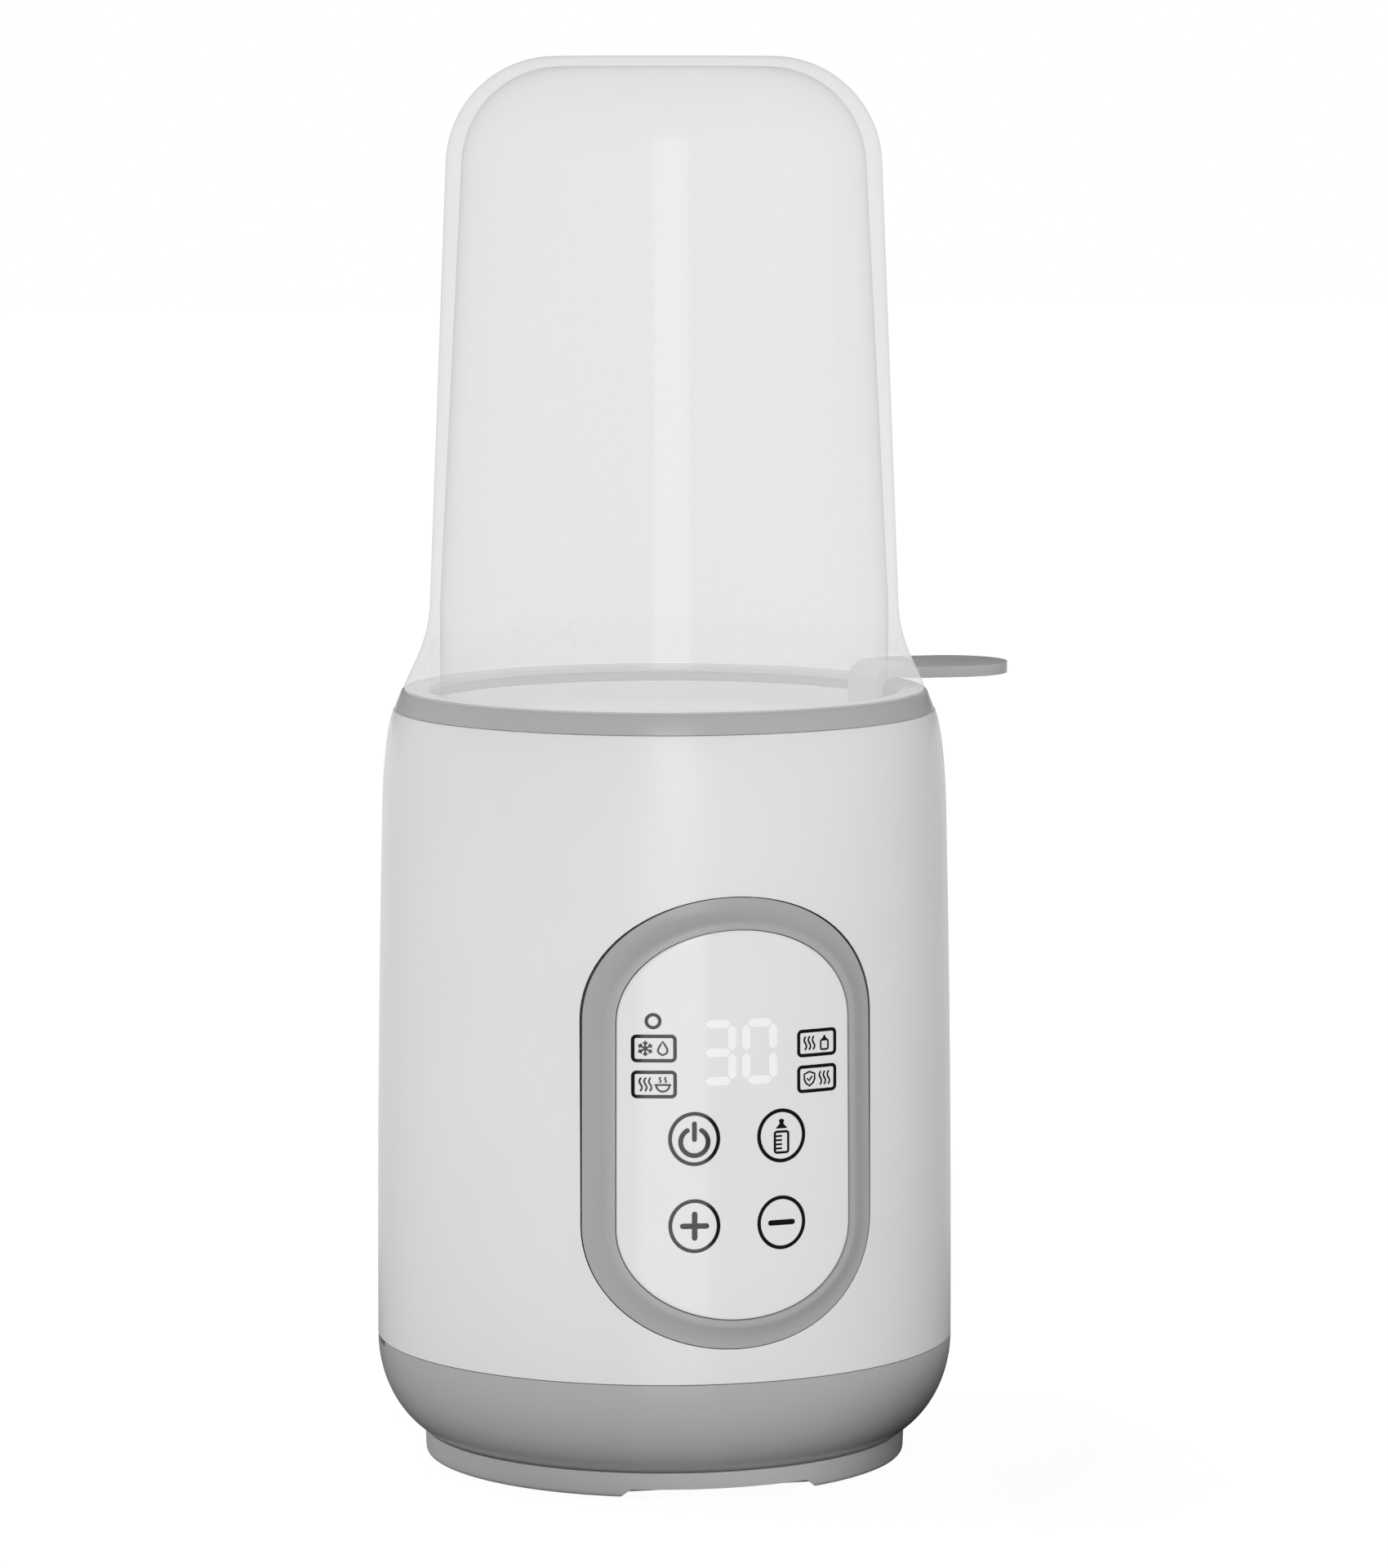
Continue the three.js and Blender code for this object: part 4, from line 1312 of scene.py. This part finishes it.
def strip_on_floor(tree, place):
    """What polished surfaces see of the floor: a bright band that runs from the object towards the
    strip light and widens with distance, on dark, and a pale floor far behind the object."""
    ahead = reach_along(tree, place, toward(0, 0))
    aside = reach_along(tree, place, toward(90, 0))
    slant = maths(tree, "DIVIDE", aside, maths(tree, "MAXIMUM", ahead, 0.01))
    off = maths(tree, "SUBTRACT", slant, math.tan(math.radians(BAND_AZIMUTH)))
    edge = math.tan(math.radians(BAND_HALF))
    band = mapped(tree, maths(tree, "ABSOLUTE", off), (edge - 0.02, edge + 0.02), (BAND_BRIGHT, 0.05))
    near = mapped(tree, ahead, (0.1, 0.24), (0.15, 1.0))
    way, reach = way_and_reach(tree, place)
    far_off = mapped(tree, reach, (0.12, 0.3), (0.0, BACK_BRIGHT))
    pale = maths(tree, "MULTIPLY", lobe(tree, way, toward(180, 0), 4.0), far_off)
    return maths(tree, "ADD", maths(tree, "MULTIPLY", band, near), pale)


def stage_piece(name, points, faces, material):
    """A mesh of the studio, from points in millimetres."""
    mesh = bpy.data.meshes.new(name)
    mesh.from_pydata([tuple(c * MM for c in p) for p in points], [], faces)
    mesh.materials.append(material)
    made = bpy.data.objects.new(name, mesh)
    bpy.context.scene.collection.objects.link(made)
    return made


def floor():
    """A pale floor: nearly white to the camera. What it throws back on to the object is strongest in
    front of it, where the light falls, and fades out under it."""
    made, tree = blank("pale floor")
    place = object_place(tree)
    colour = mottled(tree, place, 0.9, (1, 1, 1), 0.004, 3.0)
    lit = node(tree, "BsdfDiffuse", Color=colour).outputs["BSDF"]
    glow = node(tree, "Emission", Color=tone(1.0), Strength=1.04).outputs["Emission"]
    shown = node(tree, "MixShader", Fac=0.93, _1=lit, _2=glow).outputs["Shader"]
    way, reach = way_and_reach(tree, place)
    ahead = lobe(tree, way, toward(THROWN_AZIMUTH, 0), 1.0)
    patch = maths(tree, "MULTIPLY", ahead, mapped(tree, reach, (0.05, 0.13), (0.0, 1.0)))
    strength = maths(tree, "MULTIPLY", patch, FLOOR_THROWN)
    thrown = node(tree, "Emission", Color=tone(1.0), Strength=strength)
    ray = node(tree, "LightPath").outputs
    bright = strip_on_floor(tree, place)
    mirrored = node(tree, "Emission", Color=tone(1.0), Strength=bright)
    unseen = node(tree, "MixShader", Fac=ray["Is Glossy Ray"], _1=thrown.outputs[0], _2=mirrored.outputs[0])
    shader = node(tree, "MixShader", Fac=ray["Is Camera Ray"], _1=unseen.outputs["Shader"], _2=shown)
    surface_out(tree, shader.outputs["Shader"])
    size = 6000
    corners = [(-size, -size, PAD_LOW), (size, -size, PAD_LOW), (size, size, PAD_LOW)]
    corners.append((-size, size, PAD_LOW))
    stage_piece("floor", corners, [(0, 1, 2, 3)], made)


def flag():
    """A low dark sheet, unseen itself, that keeps the room's light off the right of the base."""
    made, tree = blank("flag cloth")
    place = object_place(tree)
    cloth = mottled(tree, place, 0.03, (1, 1, 1), 0.2, 60.0)
    surface_out(tree, node(tree, "BsdfDiffuse", Color=cloth).outputs["BSDF"])
    points = []
    for k in range(17):
        way = toward(FLAG_START + (FLAG_END - FLAG_START) * k / 16, 0)
        points += [(way.x * FLAG_R, way.y * FLAG_R, z) for z in (PAD_LOW, FLAG_TOP)]
    faces = [(2 * k, 2 * k + 2, 2 * k + 3, 2 * k + 1) for k in range(16)]
    sheet = stage_piece("flag", points, faces, made)
    sheet.visible_camera = False
    sheet.visible_glossy = False


def studio():
    """An even pale studio: white behind the object, and a soft light that is strongest in front of
    it and to its left, so that its right side falls off."""
    world = bpy.data.worlds.new("studio")
    bpy.context.scene.world = world
    world.use_nodes = True
    tree = world.node_tree
    tree.nodes.clear()
    way = node(tree, "TexCoord").outputs["Generated"]
    total = STUDIO_BASE
    for azimuth, elevation, strength, power in STUDIO_GLOWS:
        glow = lobe(tree, way, toward(azimuth, elevation), power)
        total = maths(tree, "ADD", maths(tree, "MULTIPLY", glow, strength), total)
    ray = node(tree, "LightPath").outputs
    glows = node(tree, "Background", Color=tone(1.0), Strength=total)
    even = node(tree, "Background", Color=tone(1.0), Strength=STUDIO_MIRRORED)
    white = node(tree, "Background", Color=tone(1.0), Strength=1.0)
    light = node(tree, "MixShader", Fac=ray["Is Glossy Ray"], _1=glows.outputs[0], _2=even.outputs[0])
    mixed = node(tree, "MixShader", Fac=ray["Is Camera Ray"], _1=light.outputs[0], _2=white.outputs[0])
    output = tree.nodes.new("ShaderNodeOutputWorld")
    tree.links.new(mixed.outputs["Shader"], output.inputs["Surface"])


# Degrees right of the camera, degrees up, strength and tightness of each soft glow.
STUDIO_GLOWS = [
    (-121, 6, 3.1, 3.0),
    (30, 5, 1.05, 4.0),
    (76, 3, 2.08, 4.0),
    (0, 90, 0.13, 2.0),
    (180, 5, 1.12, 6.0),
]
STUDIO_BASE = 0.03
STUDIO_MIRRORED = 0.15  # what polished surfaces see of the room
FLOOR_THROWN = 1.36
THROWN_AZIMUTH = -24
BAND_AZIMUTH = 3.5
BAND_HALF = 12.1
BAND_BRIGHT = 1.2
BACK_BRIGHT = 0.92

FLAG_START, FLAG_END = 50, 130  # degrees right of the camera
FLAG_R = 95
FLAG_TOP = 25


def fill_lamp():
    """A narrow lamp that shines down through the clear cover into the chamber."""
    data = bpy.data.lights.new("chamber_fill", "AREA")
    data.size = 0.03
    data.spread = math.radians(90)
    data.energy = 0.006
    made = bpy.data.objects.new("chamber_fill", data)
    made.location = (0, 0, 0.27)
    made.visible_glossy = False
    bpy.context.scene.collection.objects.link(made)


def softbox(name, azimuth, elevation, distance, width, height, watts):
    data = bpy.data.lights.new(name, "AREA")
    data.shape = "RECTANGLE"
    data.size = width
    data.size_y = height
    data.energy = watts
    made = bpy.data.objects.new(name, data)
    aim = Vector((0, 0, 0.16))
    way = toward(azimuth, elevation)
    made.location = aim + way * distance
    made.rotation_euler = way.to_track_quat("Z", "Y").to_euler()
    bpy.context.scene.collection.objects.link(made)


camera()
floor()
flag()
studio()
softbox("strip", azimuth=3.8, elevation=16.5, distance=2.2, width=0.66, height=1.43, watts=7.8)
fill_lamp()
bpy.context.scene.view_settings.view_transform = "Standard"
bpy.context.scene.cycles.transparent_max_bounces = 32  # a look through the cover meets ten surfaces
